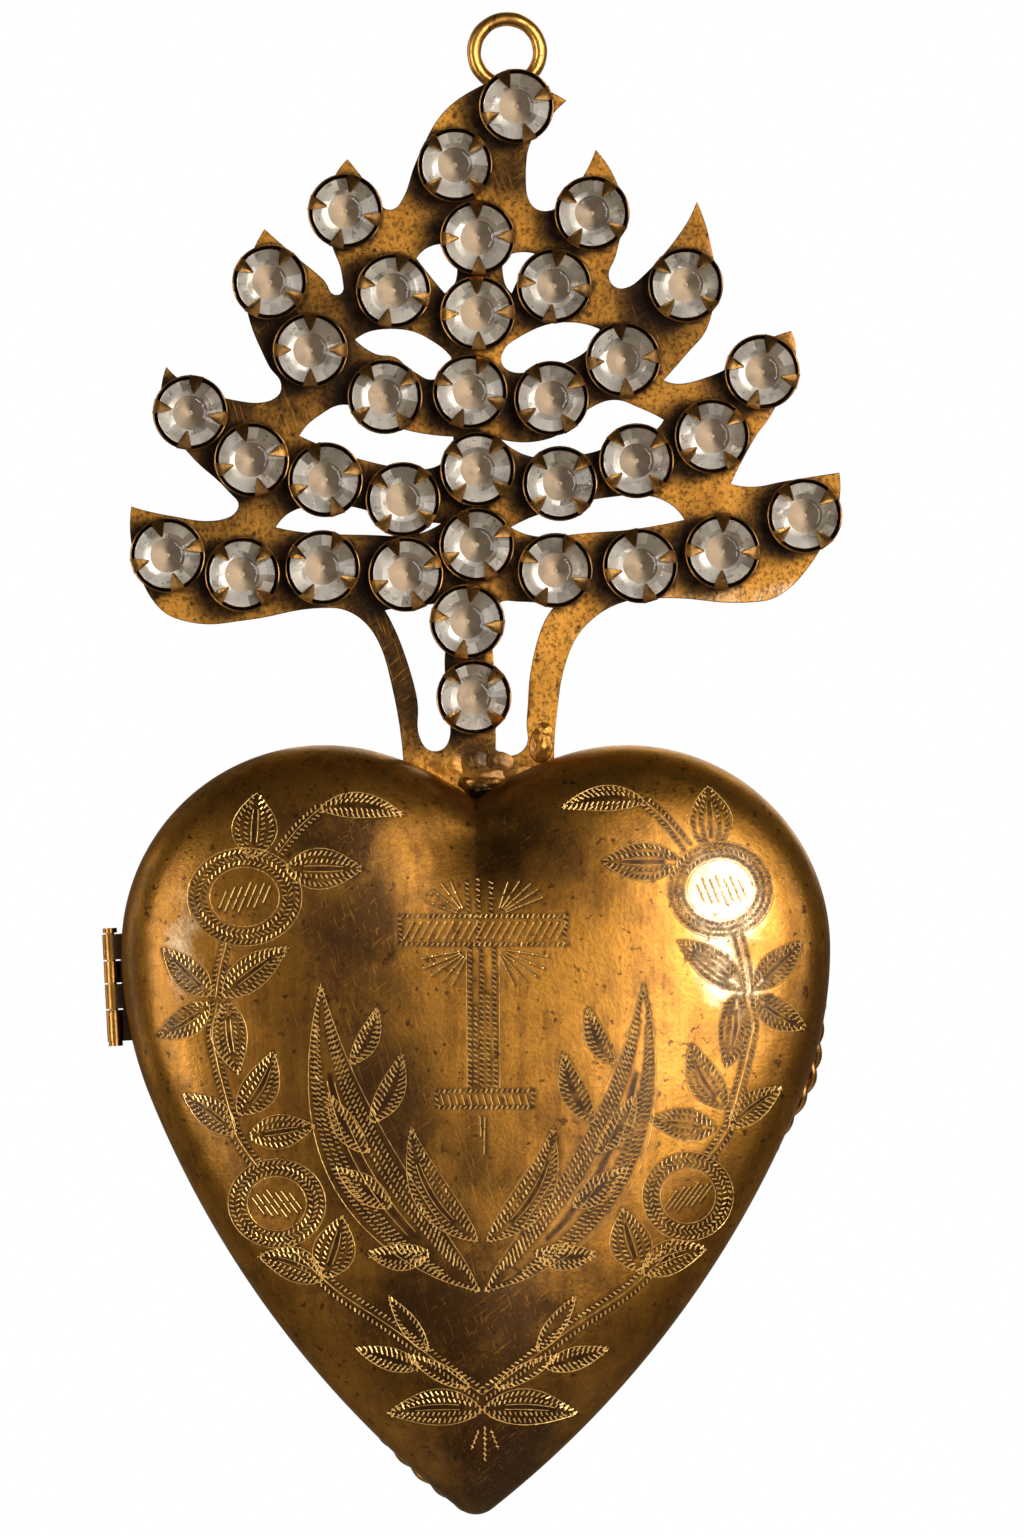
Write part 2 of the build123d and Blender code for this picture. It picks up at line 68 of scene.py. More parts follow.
# Sizes of the heart, as in the solids
HEART_X = -3.3
LOBES_Z = -94.97
SEAM_Y = -1.7
CLEFT_R = 30.0
LOBE_R = 21.5
LOBE_SPREAD = 16.0
LOBE_LEAD = radians(16)
SHOULDER_R = 42.0
SHOULDER_TURN = radians(22)
TIP_R = 2.8
LEAST_TIP_R = 0.3
TIP_DROP = 59.9
DOME_TURN = radians(55)
WALL = 0.6
LID_SKIRT = 2.2
LID_DOME = 10.5
LID_EDGE_R = 7.0
LID_CROWN_REACH = 27.0
BACK_INSET = 1.62
BACK_SKIRT = 2.6
BACK_DOME = 6.0
BACK_FLAT = 9.5
NECK = 1.8
HINGE_X = -41.739
HINGE_Z = -99.168
HINGE_LEAN = radians(3)

# Photo frame: the ring's centre in pixels and the size of a pixel
PHOTO_X = 507.0
PHOTO_Y = 52.0
PIXEL = 0.106
PHOTO_HEIGHT = 1537
PHOTO_MIDDLE = (511.5, 768.5)


# Lines and meshes

def unit(vectors):
    """Vectors at length one."""
    return vectors / np.linalg.norm(vectors, axis=1)[:, None]


def round_loop(loop):
    """Unit way along a closed loop at each of its points."""
    return unit(np.roll(loop, -1, axis=0) - np.roll(loop, 1, axis=0))


def left_of(loop):
    """Unit way to the left of a flat closed loop at each of its points."""
    along = round_loop(loop)
    return np.column_stack([-along[:, 1], along[:, 0]])


def length_along(line):
    """Distance of each point of a line from its start."""
    return np.concatenate([[0.0], np.cumsum(np.linalg.norm(np.diff(line, axis=0), axis=1))])


def places_along(line, distances):
    """Places of a flat line at distances from its start."""
    run = length_along(line)
    return np.column_stack([np.interp(distances, run, line[:, axis]) for axis in (0, 1)])


def stand(places, y):
    """Flat places as points in space, at one depth or at a depth each."""
    return np.column_stack([places[:, 0], np.broadcast_to(y, len(places)), places[:, 1]])


def to_mm(pixels):
    """Places in the photo as places on the object."""
    pixels = np.asarray(pixels, dtype=float)
    return np.column_stack([(pixels[:, 0] - PHOTO_X) * PIXEL, (PHOTO_Y - pixels[:, 1]) * PIXEL])


def eased(value):
    """Share from 0 to 1 with soft ends."""
    value = np.clip(value, 0.0, 1.0)
    return value * value * (3 - 2 * value)


def inside(places, loops):
    """Which places lie within closed loops, by counting the edges to their right."""
    odd = np.zeros(len(places), dtype=bool)
    for loop in loops:
        ends = np.roll(loop, -1, axis=0)
        for (x0, y0), (x1, y1) in zip(loop, ends):
            spans = (y0 > places[:, 1]) != (y1 > places[:, 1])
            if spans.any():
                crossing = x0 + (places[spans, 1] - y0) * (x1 - x0) / (y1 - y0)
                odd[np.flatnonzero(spans)[places[spans, 0] < crossing]] ^= True
    return odd


def fill(loops, field):
    """Triangles within closed loops over their points and a field of places, as indices into all in turn."""
    flat = np.vstack(loops + [field])
    edges = []
    first = 0
    for loop in loops:
        count = len(loop)
        edges += [(first + i, first + (i + 1) % count) for i in range(count)]
        first += count
    _, _, triangles, origins, _, _ = delaunay_2d_cdt([Vector(place) for place in flat], edges, [], 0, 1e-7)
    source = np.array([min(origin) for origin in origins])
    triangles = source[np.array(triangles)]
    return triangles[inside(flat[triangles].mean(axis=1), loops)]


def ring_faces(rows, count, first=0, closed=False):
    """Quads between closed rows of points that follow each other, and back to the first row if closed."""
    grid = first + np.arange(rows * count).reshape(rows, count)
    if closed:
        grid = np.vstack([grid, grid[:1]])
    ahead = np.roll(grid, -1, axis=1)
    return list(zip(grid[:-1].flat, ahead[:-1].flat, ahead[1:].flat, grid[1:].flat))


def capped_faces(rows, count):
    """Quads between rows, with a face over the first row and one over the last."""
    last = (rows - 1) * count
    return ring_faces(rows, count) + [tuple(range(count))[::-1], tuple(range(last, last + count))]


def tube(path, radius, sides, closed=False):
    """Round tube along points, with capped ends unless it is closed."""
    along = round_loop(path) if closed else unit(np.gradient(path, axis=0))
    across = unit(np.cross(along, (0.0, 1.0, 0.0)))
    rise = np.cross(across, along)
    ways = np.arange(sides) * 2 * pi / sides
    spread = np.broadcast_to(np.asarray(radius, dtype=float), (len(path),))[:, None, None]
    swing = np.cos(ways)[None, :, None] * across[:, None, :] + np.sin(ways)[None, :, None] * rise[:, None, :]
    points = (path[:, None, :] + spread * swing).reshape(-1, 3)
    if closed:
        return points, ring_faces(len(path), sides, closed=True)
    return points, capped_faces(len(path), sides)


def join_parts(parts):
    """One list of points and faces from several."""
    points = []
    faces = []
    for part_points, part_faces in parts:
        shift = len(points)
        points.extend(np.asarray(part_points).tolist())
        faces.extend(tuple(index + shift for index in face) for face in part_faces)
    return points, faces


def make_piece(name, points, faces, material, smooth=None):
    """Mesh object from points in millimetres, shaded smooth below an angle, with its faces outwards."""
    mesh = bpy.data.meshes.new(name)
    mesh.from_pydata((np.asarray(points, dtype=float) * MM).tolist(), [], faces)
    mesh.validate()
    if smooth is not None:
        mesh.shade_smooth()
        mesh.set_sharp_from_angle(angle=radians(smooth))
    mesh.materials.append(material)
    made = bmesh.new()
    made.from_mesh(mesh)
    bmesh.ops.recalc_face_normals(made, faces=made.faces)
    made.to_mesh(mesh)
    made.free()
    piece = bpy.data.objects.new(name, mesh)
    bpy.context.scene.collection.objects.link(piece)
    return piece


def mark(piece, name, values, domain="POINT"):
    """Keep a value at each point or face of a mesh for its material."""
    kept = piece.data.attributes.new(name, "FLOAT", domain).data
    kept.foreach_set("value", np.asarray(values, dtype=float))


def settle(piece, body, slot, *nodes):
    """Put a finished piece on its body and hide the solids it stands for; its slot is not used."""
    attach(piece, body)
    if nodes:
        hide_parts(*nodes)


# Materials

class Shader:
    """Short way to write a material's nodes."""

    def __init__(self, name):
        self.material = bpy.data.materials.new(name)
        self.material.use_nodes = True
        self.nodes = self.material.node_tree.nodes
        self.links = self.material.node_tree.links
        self.place = self.node("TexCoord").outputs["Object"]

    def node(self, kind, settings=None, **inputs):
        made = self.nodes.new("ShaderNode" + kind)
        for key, value in (settings or {}).items():
            setattr(made, key, value)
        return self.fit(made, **inputs)

    def fit(self, node, **inputs):
        for key, value in inputs.items():
            self.put(node.inputs[key.replace("_", " ")], value)
        return node

    def put(self, socket, value):
        if isinstance(value, bpy.types.NodeSocket):
            self.links.new(value, socket)
        else:
            socket.default_value = value

    def surface(self, **inputs):
        self.fit(self.nodes["Principled BSDF"], **inputs)

    def attribute(self, name):
        return self.node("Attribute", {"attribute_name": name}).outputs["Fac"]

    def stretched(self, scale, turn=0.0):
        turned = self.node("Mapping", Vector=self.place, Rotation=(0.0, turn, 0.0)).outputs["Vector"]
        return self.node("Mapping", Vector=turned, Scale=scale).outputs["Vector"]

    def cloud(self, scale, detail=4.0, rough=0.55, vector=None):
        made = self.node("TexNoise", Scale=scale, Detail=detail, Roughness=rough, Vector=vector or self.place)
        return made.outputs["Fac"]

    def ramp(self, value, low, high, start=0.0, end=1.0):
        made = self.node("MapRange", {"interpolation_type": "SMOOTHSTEP"}, Value=value)
        return self.fit(made, From_Min=low, From_Max=high, To_Min=start, To_Max=end).outputs["Result"]

    def math(self, kind, first, second):
        made = self.node("Math", {"operation": kind})
        self.put(made.inputs[0], first)
        self.put(made.inputs[1], second)
        return made.outputs[0]

    def plus(self, first, second):
        return self.math("ADD", first, second)

    def times(self, first, second):
        return self.math("MULTIPLY", first, second)

    def mix(self, share, first, second):
        made = self.node("Mix", {"data_type": "RGBA"}, Factor=share)
        self.put(made.inputs[6], first)
        self.put(made.inputs[7], second)
        return made.outputs[2]

    def bump(self, height, depth, strength=1.0, normal=None):
        made = self.node("Bump", Height=height, Distance=depth * MM, Strength=strength)
        if normal is not None:
            self.fit(made, Normal=normal)
        return made.outputs["Normal"]


def brass(name, tones, wear, gloss, pits=0.0, tarnish_and_shade=None, stains_and_light=False, coat=0.3, strap_shade=None):
    """Aged brass: clouds of tarnish, upright wiping streaks, pits, specks, scratches and a fine grain."""
    bright, middle, dark = ((*tone, 1) for tone in tones)
    shade = Shader(name)
    clouds = shade.cloud(62.0, 6.0, 0.6)
    streaks = shade.cloud(1.0, 5.0, 0.6, shade.stretched((900.0, 900.0, 55.0)))
    mottle = shade.cloud(330.0, 6.0, 0.68)
    blend = shade.plus(shade.times(clouds, 0.46), shade.times(streaks, 0.26))
    blend = shade.plus(blend, shade.times(mottle, 0.28))
    colour = shade.mix(shade.ramp(blend, wear - 0.08, wear + 0.08), middle, bright)
    rough = shade.ramp(blend, 0.3, 0.7, gloss + 0.14, gloss - 0.06)
    blotch = shade.ramp(shade.cloud(30.0, 5.0, 0.62), 0.52, 0.72, 0.0, 0.6)
    colour = shade.mix(blotch, colour, dark)
    # Stains with painted light and shade: darker above zero, brighter below, and pale painted highlights at
    # the lowest values
    if stains_and_light:
        ragged = shade.ramp(shade.cloud(110.0, 6.0, 0.65), 0.3, 0.7, 0.55, 1.45)
        ragged = shade.times(shade.attribute("stain_light_map"), ragged)
        colour = shade.mix(shade.ramp(ragged, 0.0, 1.0, 0.0, 0.9), colour, dark)
        colour = shade.mix(shade.ramp(ragged, -1.0, 0.0, 0.9, 0.0), colour, bright)
        colour = shade.mix(shade.ramp(ragged, -2.2, -1.0, 0.8, 0.0), colour, (*PAINTED_HIGHLIGHT_TONE, 1))
        rough = shade.plus(rough, shade.ramp(ragged, -1.0, 1.0, -0.02, 0.06))
    grain = shade.cloud(2300.0, 3.0, 0.65)
    if pits:
        colour = shade.mix(shade.ramp(grain, 0.46, 0.64, 0.0, pits), colour, dark)
    specks = shade.ramp(shade.cloud(1100.0, 2.0, 0.5), 0.63, 0.71, 0.0, 0.75)
    colour = shade.mix(specks, colour, dark)
    steep = shade.cloud(1.0, 2.0, 0.5, shade.stretched((5200.0, 5200.0, 240.0), radians(17)))
    slack = shade.cloud(1.0, 2.0, 0.5, shade.stretched((5200.0, 5200.0, 330.0), radians(-52)))
    scratch = shade.math("MAXIMUM", shade.ramp(steep, 0.61, 0.71), shade.ramp(slack, 0.63, 0.72))
    colour = shade.mix(shade.times(scratch, 0.36), colour, bright)
    # Dark tarnish in the lid's sunk bands, painted shadow in the cuts beside its strokes and round the
    # crest's cups, and the darker patch on the foot
    if tarnish_and_shade:
        tarnish_and_shade_share = shade.attribute("tarnish_and_shade")
        tarnish_and_shade_dark = shade.times(tarnish_and_shade_share, shade.ramp(shade.cloud(700.0, 3.0), 0.3, 0.6, *tarnish_and_shade))
        colour = shade.mix(tarnish_and_shade_dark, colour, dark)
        rough = shade.plus(rough, shade.times(tarnish_and_shade_share, 0.15))
    # Painted shade over the hinge's strap, on the far side of its knuckles
    if strap_shade:
        split = shade.node("SeparateXYZ", Vector=shade.place).outputs
        across = shade.plus(split["X"], shade.times(split["Z"], tan(HINGE_LEAN)))
        colour = shade.mix(shade.ramp(across, strap_shade[0] * MM, strap_shade[1] * MM, 0.0, 0.9), colour, dark)
    normal = shade.bump(grain, 0.02 + 0.04 * pits)
    normal = shade.bump(scratch, -0.004, 0.6, normal)
    normal = shade.bump(shade.cloud(260.0, 3.0, 0.5), 0.05, 0.5, normal)
    shade.surface(Base_Color=colour, Roughness=rough, Normal=normal, Metallic=1.0)
    shade.surface(Specular_Tint=(0.68, 0.57, 0.42, 1), Coat_Weight=coat, Coat_Roughness=0.25)
    return shade.material


# Tones of brass, each bright, middle and dark
AGED = ((0.36, 0.152, 0.019), (0.172, 0.069, 0.010), (0.032, 0.013, 0.004))
RUBBED = ((0.90, 0.58, 0.19), (0.72, 0.42, 0.12), (0.3, 0.15, 0.04))
SHEET = ((0.54, 0.238, 0.034), (0.38, 0.16, 0.022), (0.018, 0.008, 0.003))
DULL = ((0.36, 0.165, 0.03), (0.20, 0.088, 0.017), (0.043, 0.02, 0.007))
WIRE = ((0.63, 0.30, 0.054), (0.40, 0.18, 0.032), (0.09, 0.04, 0.012))
CLAW = ((0.46, 0.225, 0.05), (0.17, 0.075, 0.016), (0.03, 0.013, 0.005))
DARK = ((0.52, 0.24, 0.044), (0.27, 0.118, 0.02), (0.02, 0.009, 0.004))
# Pale brass painted where the highlights fall
PAINTED_HIGHLIGHT_TONE = (0.84, 0.63, 0.39)
HINGE_SHIFT = HINGE_X + HINGE_Z * tan(HINGE_LEAN)

heart_brass = brass("heart_brass", AGED, 0.49, 0.34, pits=0.22, tarnish_and_shade=(0.5, 0.95), stains_and_light=True, coat=0.16)
tick_brass = brass("tick_brass", RUBBED, 0.46, 0.42)
back_brass = brass("back_brass", DULL, 0.5, 0.38)
crest_brass = brass("crest_brass", SHEET, 0.46, 0.5, pits=0.62, tarnish_and_shade=(0.8, 1.0), stains_and_light=True, coat=0.15)
setting_brass = brass("setting_brass", CLAW, 0.5, 0.26, pits=0.2)
ring_brass = brass("ring_brass", WIRE, 0.47, 0.28, pits=0.2)
rope_brass = brass("rope_brass", DULL, 0.48, 0.3)
hinge_brass = brass("hinge_brass", DARK, 0.48, 0.26, strap_shade=(HINGE_SHIFT, HINGE_SHIFT + 0.4))
liner_brass = brass("liner_brass", DULL, 0.47, 0.36)
solder = brass("solder", SHEET, 0.5, 0.34, pits=0.35, tarnish_and_shade=(0.8, 1.0), stains_and_light=True)


def foil(name, pale, dim, edge, rough, metal):
    """Tarnished backing of a stone, with painted light: paler towards its lit side, dim towards its shaded
    side.
    """
    shade = Shader(name)
    # Painted light: each face's side value with a cloud blends the dim tone into the pale one
    uneven = shade.ramp(shade.cloud(420.0, 5.0, 0.6), 0.3, 0.7, -0.2, 0.2)
    uneven = shade.plus(shade.attribute("side"), uneven)
    colour = shade.mix(shade.ramp(uneven, -edge, edge), (*dim, 1), (*pale, 1))
    smudge = shade.ramp(shade.cloud(320.0, 3.0, 0.5), 0.5, 0.72, 0.0, 0.35)
    colour = shade.mix(smudge, colour, (*dim, 1))
    dull = shade.ramp(shade.cloud(1200.0, 3.0), 0.3, 0.7, rough, rough + 0.15)
    shade.surface(Base_Color=colour, Roughness=dull, Metallic=metal)
    return shade.material


def clear_glass(name):
    """Clear glass with a faint haze and wear on its facets."""
    shade = Shader(name)
    colour = shade.mix(shade.cloud(420.0, 4.0, 0.6), (1.0, 1.0, 1.0, 1), (0.95, 0.95, 0.94, 1))
    rough = shade.ramp(shade.cloud(900.0, 3.0), 0.4, 0.75, 0.02, 0.1)
    shade.surface(Base_Color=colour, Roughness=rough, Transmission_Weight=1.0, IOR=1.5)
    return shade.material


stone_glass = clear_glass("stone_glass")
pale_foil = foil("pale_foil", (1.0, 0.9, 0.77), (0.33, 0.27, 0.20), 0.8, 0.26, 0.45)
tan_foil = foil("tan_foil", (1.0, 0.75, 0.49), (0.19, 0.14, 0.09), 0.75, 0.45, 0.1)

# Stains and painted light and shade in photo pixels: middle, half width, half height, and how dark, or how
# bright if below zero; the brightest are painted highlights
LID_STAIN_LIGHT = (
    (340, 830, 60, 24, 0.7),
    (330, 930, 45, 75, 0.5),
    (215, 800, 60, 26, 0.35),
    (610, 772, 90, 20, -0.75),
    (548, 850, 42, 40, 0.85),
    (490, 850, 22, 50, 0.6),
    (370, 1060, 60, 90, 0.5),
    (480, 1320, 110, 60, 0.9),
    (487, 1450, 50, 60, 1.0),
    (490, 1195, 60, 70, 0.5),
    (370, 1160, 60, 60, 0.45),
    (140, 960, 14, 80, 0.55),
    (428, 868, 34, 40, -0.4),
    (388, 905, 26, 40, 0.45),
    (600, 940, 62, 110, -0.38),
    (600, 1010, 60, 90, 0.15),
    (720, 895, 38, 60, -0.8),
    (676, 1005, 26, 46, 0.45),
    (705, 1060, 40, 90, -0.4),
    (190, 960, 30, 90, -0.7),
    (250, 1090, 32, 70, -0.3),
    (190, 955, 24, 70, -0.9),
    (724, 940, 32, 74, -1.3),
    (748, 985, 20, 50, -0.6),
)
CREST_STAIN_LIGHT = (
    (388, 645, 36, 62, 1.5),
    (410, 715, 15, 36, 0.6),
    (220, 585, 130, 60, 0.25),
    (240, 430, 80, 70, 0.95),
    (290, 320, 70, 60, 0.7),
    (440, 128, 24, 30, -0.7),
    (515, 160, 24, 30, 1.2),
    (640, 318, 22, 30, 0.8),
    (745, 598, 100, 20, -2.3),
    (760, 545, 80, 26, 0.6),
    (680, 300, 60, 90, 0.45),
    (600, 170, 30, 40, 0.25),
    (545, 665, 24, 60, -0.6),
    (432, 770, 24, 12, -0.9),
    (480, 755, 44, 18, 0.75),
)


def gap_from(points, pixel, wide, tall):
    """Square of each point's distance from a place in the photo, in half widths and half heights."""
    (x, z), = to_mm([pixel])
    return ((points[:, 0] - x) / wide) ** 2 + ((points[:, 2] - z) / tall) ** 2


def stain_light_map(points, stains_and_light):
    """How dark or bright the stains and the painted light and shade make each point."""
    found = np.zeros(len(points))
    for x, y, wide, tall, strength in stains_and_light:
        found += strength * np.exp(-0.5 * gap_from(points, (x, y), wide * PIXEL, tall * PIXEL))
    return found


# Heart outline: tangent arcs, about the height of the lobes' centres

lead_way = np.array([-sin(LOBE_LEAD), cos(LOBE_LEAD)])
lobe_centre = np.array([LOBE_SPREAD, 0.0])
cleft_centre = lobe_centre - lead_way * (CLEFT_R - LOBE_R)
cleft = np.array([0.0, cleft_centre[1] + sqrt(CLEFT_R**2 - cleft_centre[0] ** 2)])
shoulder_centre = np.array([LOBE_SPREAD + LOBE_R - SHOULDER_R, 0.0])
turn_way = np.array([cos(SHOULDER_TURN), -sin(SHOULDER_TURN)])
shoulder_end = shoulder_centre + turn_way * SHOULDER_R
to_shoulder = shoulder_end - np.array([0.0, TIP_R - TIP_DROP])
flank_r = (to_shoulder @ to_shoulder - TIP_R**2) / (2 * (to_shoulder @ turn_way - TIP_R))
flank_centre = shoulder_end - turn_way * flank_r


def way_angle(way):
    """Angle of a flat way."""
    return atan2(way[1], way[0])


def heart_ring(inset, spacing):
    """Closed row of places round the heart, moved inwards, with as many places at any inset."""
    tip_r = max(TIP_R - inset, LEAST_TIP_R)
    tip_drop = sqrt((flank_r - inset - tip_r) ** 2 - flank_centre[0] ** 2)
    tip_centre = np.array([0.0, flank_centre[1] - tip_drop])
    cleft_way = way_angle(cleft - cleft_centre)
    lobe_way = way_angle(lead_way)
    tip_way = way_angle(tip_centre - flank_centre)
    # Each arc: its centre, radius, first and last way, and its rough length, which sets its number of places
    arcs = [
        (cleft, inset, -pi / 2, cleft_way - pi, 6.0),
        (cleft_centre, CLEFT_R - inset, cleft_way, lobe_way, 12.0),
        (lobe_centre, LOBE_R - inset, lobe_way, 0.0, 40.0),
        (shoulder_centre, SHOULDER_R - inset, 0.0, -SHOULDER_TURN, 17.0),
        (flank_centre, flank_r - inset, -SHOULDER_TURN, tip_way, 58.0),
        (tip_centre, tip_r, tip_way, -pi / 2, 3.0),
    ]
    side = []
    for centre, radius, first, last, length in arcs:
        count = max(3, ceil(length / spacing))
        ways = first + (last - first) * np.arange(count) / count
        side.append(centre + radius * np.column_stack([np.cos(ways), np.sin(ways)]))
    side = np.vstack(side)
    tip = np.array([[0.0, tip_centre[1] - tip_r]])
    left = side[1:][::-1] * (-1.0, 1.0)
    return np.vstack([side, tip, left]) + (HEART_X, LOBES_Z)


def back_profile(inset, reach, rise):
    """Height of the back's dome at an inset from its edge: an edge arc, then a crown arc that ends level."""
    edge_r = (rise * cos(DOME_TURN) - reach * (1 - sin(DOME_TURN))) / (cos(DOME_TURN) + sin(DOME_TURN) - 1)
    crown_r = edge_r + (reach - edge_r) / cos(DOME_TURN)
    inset = min(max(inset, 0.0), reach)
    if inset < edge_r * (1 - cos(DOME_TURN)):
        return sqrt(max(edge_r**2 - (edge_r - inset) ** 2, 0.0))
    return rise - crown_r + sqrt(max(crown_r**2 - (reach - inset) ** 2, 0.0))


def lid_profile(inset):
    """Height of the lid's face: an edge arc, then a crown that levels out slowly to the middle."""
    inset = np.asarray(inset, dtype=float)
    arc_run = LID_EDGE_R * (1 - cos(DOME_TURN))
    arc_rise = LID_EDGE_R * sin(DOME_TURN)
    arc = np.sqrt(np.maximum(LID_EDGE_R**2 - (LID_EDGE_R - inset) ** 2, 0.0))
    left = np.clip((LID_CROWN_REACH - inset) / (LID_CROWN_REACH - arc_run), 0.0, 1.0)
    power = (LID_CROWN_REACH - arc_run) / tan(DOME_TURN) / (LID_DOME - arc_rise)
    return np.where(inset < arc_run, arc, LID_DOME - (LID_DOME - arc_rise) * left**power)


# Chased ornament, drawn in photo pixels and laid on the lid

STROKE_RUN = 14.0
STROKE_LAP = 1.5
# Offset of the dark cut painted as a stroke's shadow
STROKE_SHADOW_SHIFT = np.array([1.7, 1.1])
CURVE_STEPS = 24
TICK_LENGTHS = (0.82, 1.15)
TICK_WIDTHS = (0.85, 1.15)
LEAF_STEPS = 14
LEAF_SWELL = 0.85
LEAF_SLANT = 58.0
INNER_ROW_WIDTH = 18
RIB_WIDTH = 25
# Ticked rings of a rose, each its share of the rose's size and the slant of its ticks, and its raised rims
ROSE_RINGS = ((0.98, 55), (0.86, -50), (0.74, 60))
ROSE_RIMS = (1.06, 0.64)


def smooth_line(points, step=1.0):
    """Even places along a smooth curve through a few."""
    points = np.asarray(points, dtype=float)
    if len(points) == 2:
        count = max(2, ceil(np.linalg.norm(points[1] - points[0]) / step))
        return points[0] + (points[1] - points[0]) * np.linspace(0, 1, count + 1)[:, None]
    ends = np.vstack([2 * points[0] - points[1], points, 2 * points[-1] - points[-2]])
    t = np.linspace(0, 1, CURVE_STEPS, endpoint=False)[:, None]
    fine = []
    for a, b, c, d in zip(ends, ends[1:], ends[2:], ends[3:]):
        bend = (2 * a - 5 * b + 4 * c - d) * t**2 + (3 * b - a - 3 * c + d) * t**3
        fine.append(0.5 * (2 * b + (c - a) * t + bend))
    fine = np.vstack(fine + [points[-1:]])
    length = length_along(fine)[-1]
    return places_along(fine, np.linspace(0, length, max(2, ceil(length / step)) + 1))


class Chasing:
    """Punched ticks, raised rims and cut lines, gathered before the lid is made."""

    def __init__(self):
        self.ticks = []
        self.trails = []

    def row(self, line, pitch=5.2, slant=58.0, length=6.6, width=3.0, height=0.065, sink=1.7, jitter=9.0):
        """A row of slanted ticks in a sunk band."""
        line = smooth_line(line)
        self.trails.append((line, sink))
        run = length_along(line)
        along = np.gradient(line, axis=0)
        for place in np.arange(pitch / 2, run[-1], pitch):
            x, y = (np.interp(place, run, line[:, axis]) for axis in (0, 1))
            dx, dy = (np.interp(place, run, along[:, axis]) for axis in (0, 1))
            way = atan2(-dy, dx) + radians(slant + rng.normal(0, jitter))
            long = length * rng.uniform(*TICK_LENGTHS)
            wide = width * rng.uniform(*TICK_WIDTHS)
            self.tick(x, y, way, long, wide, height)

    def tick(self, x, y, way, length, width, height):
        (across, up), = to_mm([(x, y)])
        self.ticks.append((across, up, way, length * PIXEL, width * PIXEL, height))

    def rim(self, line, width=1.9, height=0.04):
        """A raised line, as a chain of long slim ticks."""
        self.row(line, 5.5, 0.0, 7.5, width, height, sink=0.0, jitter=2.0)

    def cut(self, line, sink):
        """A plain cut line."""
        self.trails.append((smooth_line(line), sink))

    def stroke(self, start, end, width=2.4, height=0.055):
        """A straight raised stroke beside a dark cut that is its painted shadow, in runs short enough to
        follow the dome.
        """
        start, end = np.array(start, dtype=float), np.array(end, dtype=float)
        length = np.linalg.norm(end - start)
        runs = max(1, round(length / STROKE_RUN))
        way = atan2(start[1] - end[1], end[0] - start[0])
        for run in range(runs):
            x, y = start + (end - start) * (run + 0.5) / runs
            self.tick(x, y, way, length / runs + STROKE_LAP, width, height)
        self.cut([start + STROKE_SHADOW_SHIFT, end + STROKE_SHADOW_SHIFT], 0.5)


def leaf_side(base, tip, width, bend, side, share, first=0.0, last=1.0):
    """Edge of a pointed leaf, from its base to its tip."""
    base = np.asarray(base, dtype=float)
    way = np.asarray(tip, dtype=float) - base
    over = np.array([way[1], -way[0]]) / np.linalg.norm(way)
    t = np.linspace(first, last, LEAF_STEPS)
    swell = np.sin(pi * t**LEAF_SWELL) ** LEAF_SWELL
    lean = bend * 4 * t * (1 - t)
    return base + way * t[:, None] + over * (lean + side * share * width / 2 * swell)[:, None]


def chase_leaf(work, base, tip, width, bend):
    """A leaf: ticked outline and inner row, a raised rim and an eye along its middle."""
    leaf = (base, tip, width, bend)
    for side in (-1, 1):
        work.row(leaf_side(*leaf, side, 0.84), slant=side * LEAF_SLANT)
        work.rim(leaf_side(*leaf, side, 1.1))
        if width > INNER_ROW_WIDTH:
            work.row(leaf_side(*leaf, side, 0.42, 0.1, 0.9), slant=side * LEAF_SLANT, length=5.4)
        if width > RIB_WIDTH:
            work.rim(leaf_side(*leaf, side, 0.16, 0.24, 0.74))
    if width > INNER_ROW_WIDTH:
        work.cut(leaf_side(*leaf, 1, 0.0, 0.22, 0.76), 1.8)


def chase_stem(work, line, width):
    """Two ticked rows side by side, with a raised line between them."""
    line = smooth_line(line)
    along = unit(np.gradient(line, axis=0))
    over = np.column_stack([along[:, 1], -along[:, 0]])
    for side in (-1, 1):
        work.row(line + over * side * width / 2, slant=side * 60, length=5.2)
    work.rim(line)


def chase_rose(work, middle, wide, tall, lean):
    """A round flower: three ticked rings about a plain disc with slanted strokes."""
    ways = np.linspace(0, 2 * pi, 49)
    circle = np.column_stack([np.cos(ways) * wide, np.sin(ways) * tall])
    for share, slant in ROSE_RINGS:
        work.row(circle * share + middle, slant=slant, length=6.0)
    for share in ROSE_RIMS:
        work.rim(circle * share + middle)
    for step in range(-3, 4):
        reach = 0.34 * tall * (1 - 0.09 * abs(step)) * (0.82 if step % 2 else 1.0)
        x = middle[0] + step * 0.135 * wide
        y = middle[1] - 0.02 * tall * step
        work.stroke((x - lean * reach, y + reach), (x + lean * reach, y - reach))


# The right half of the garland mirrors the left and sits a little higher, apart from its low stem
MIRROR_X = 965.0
GARLAND_LIFT = 7.0
LOW_STEM_Y = 1200

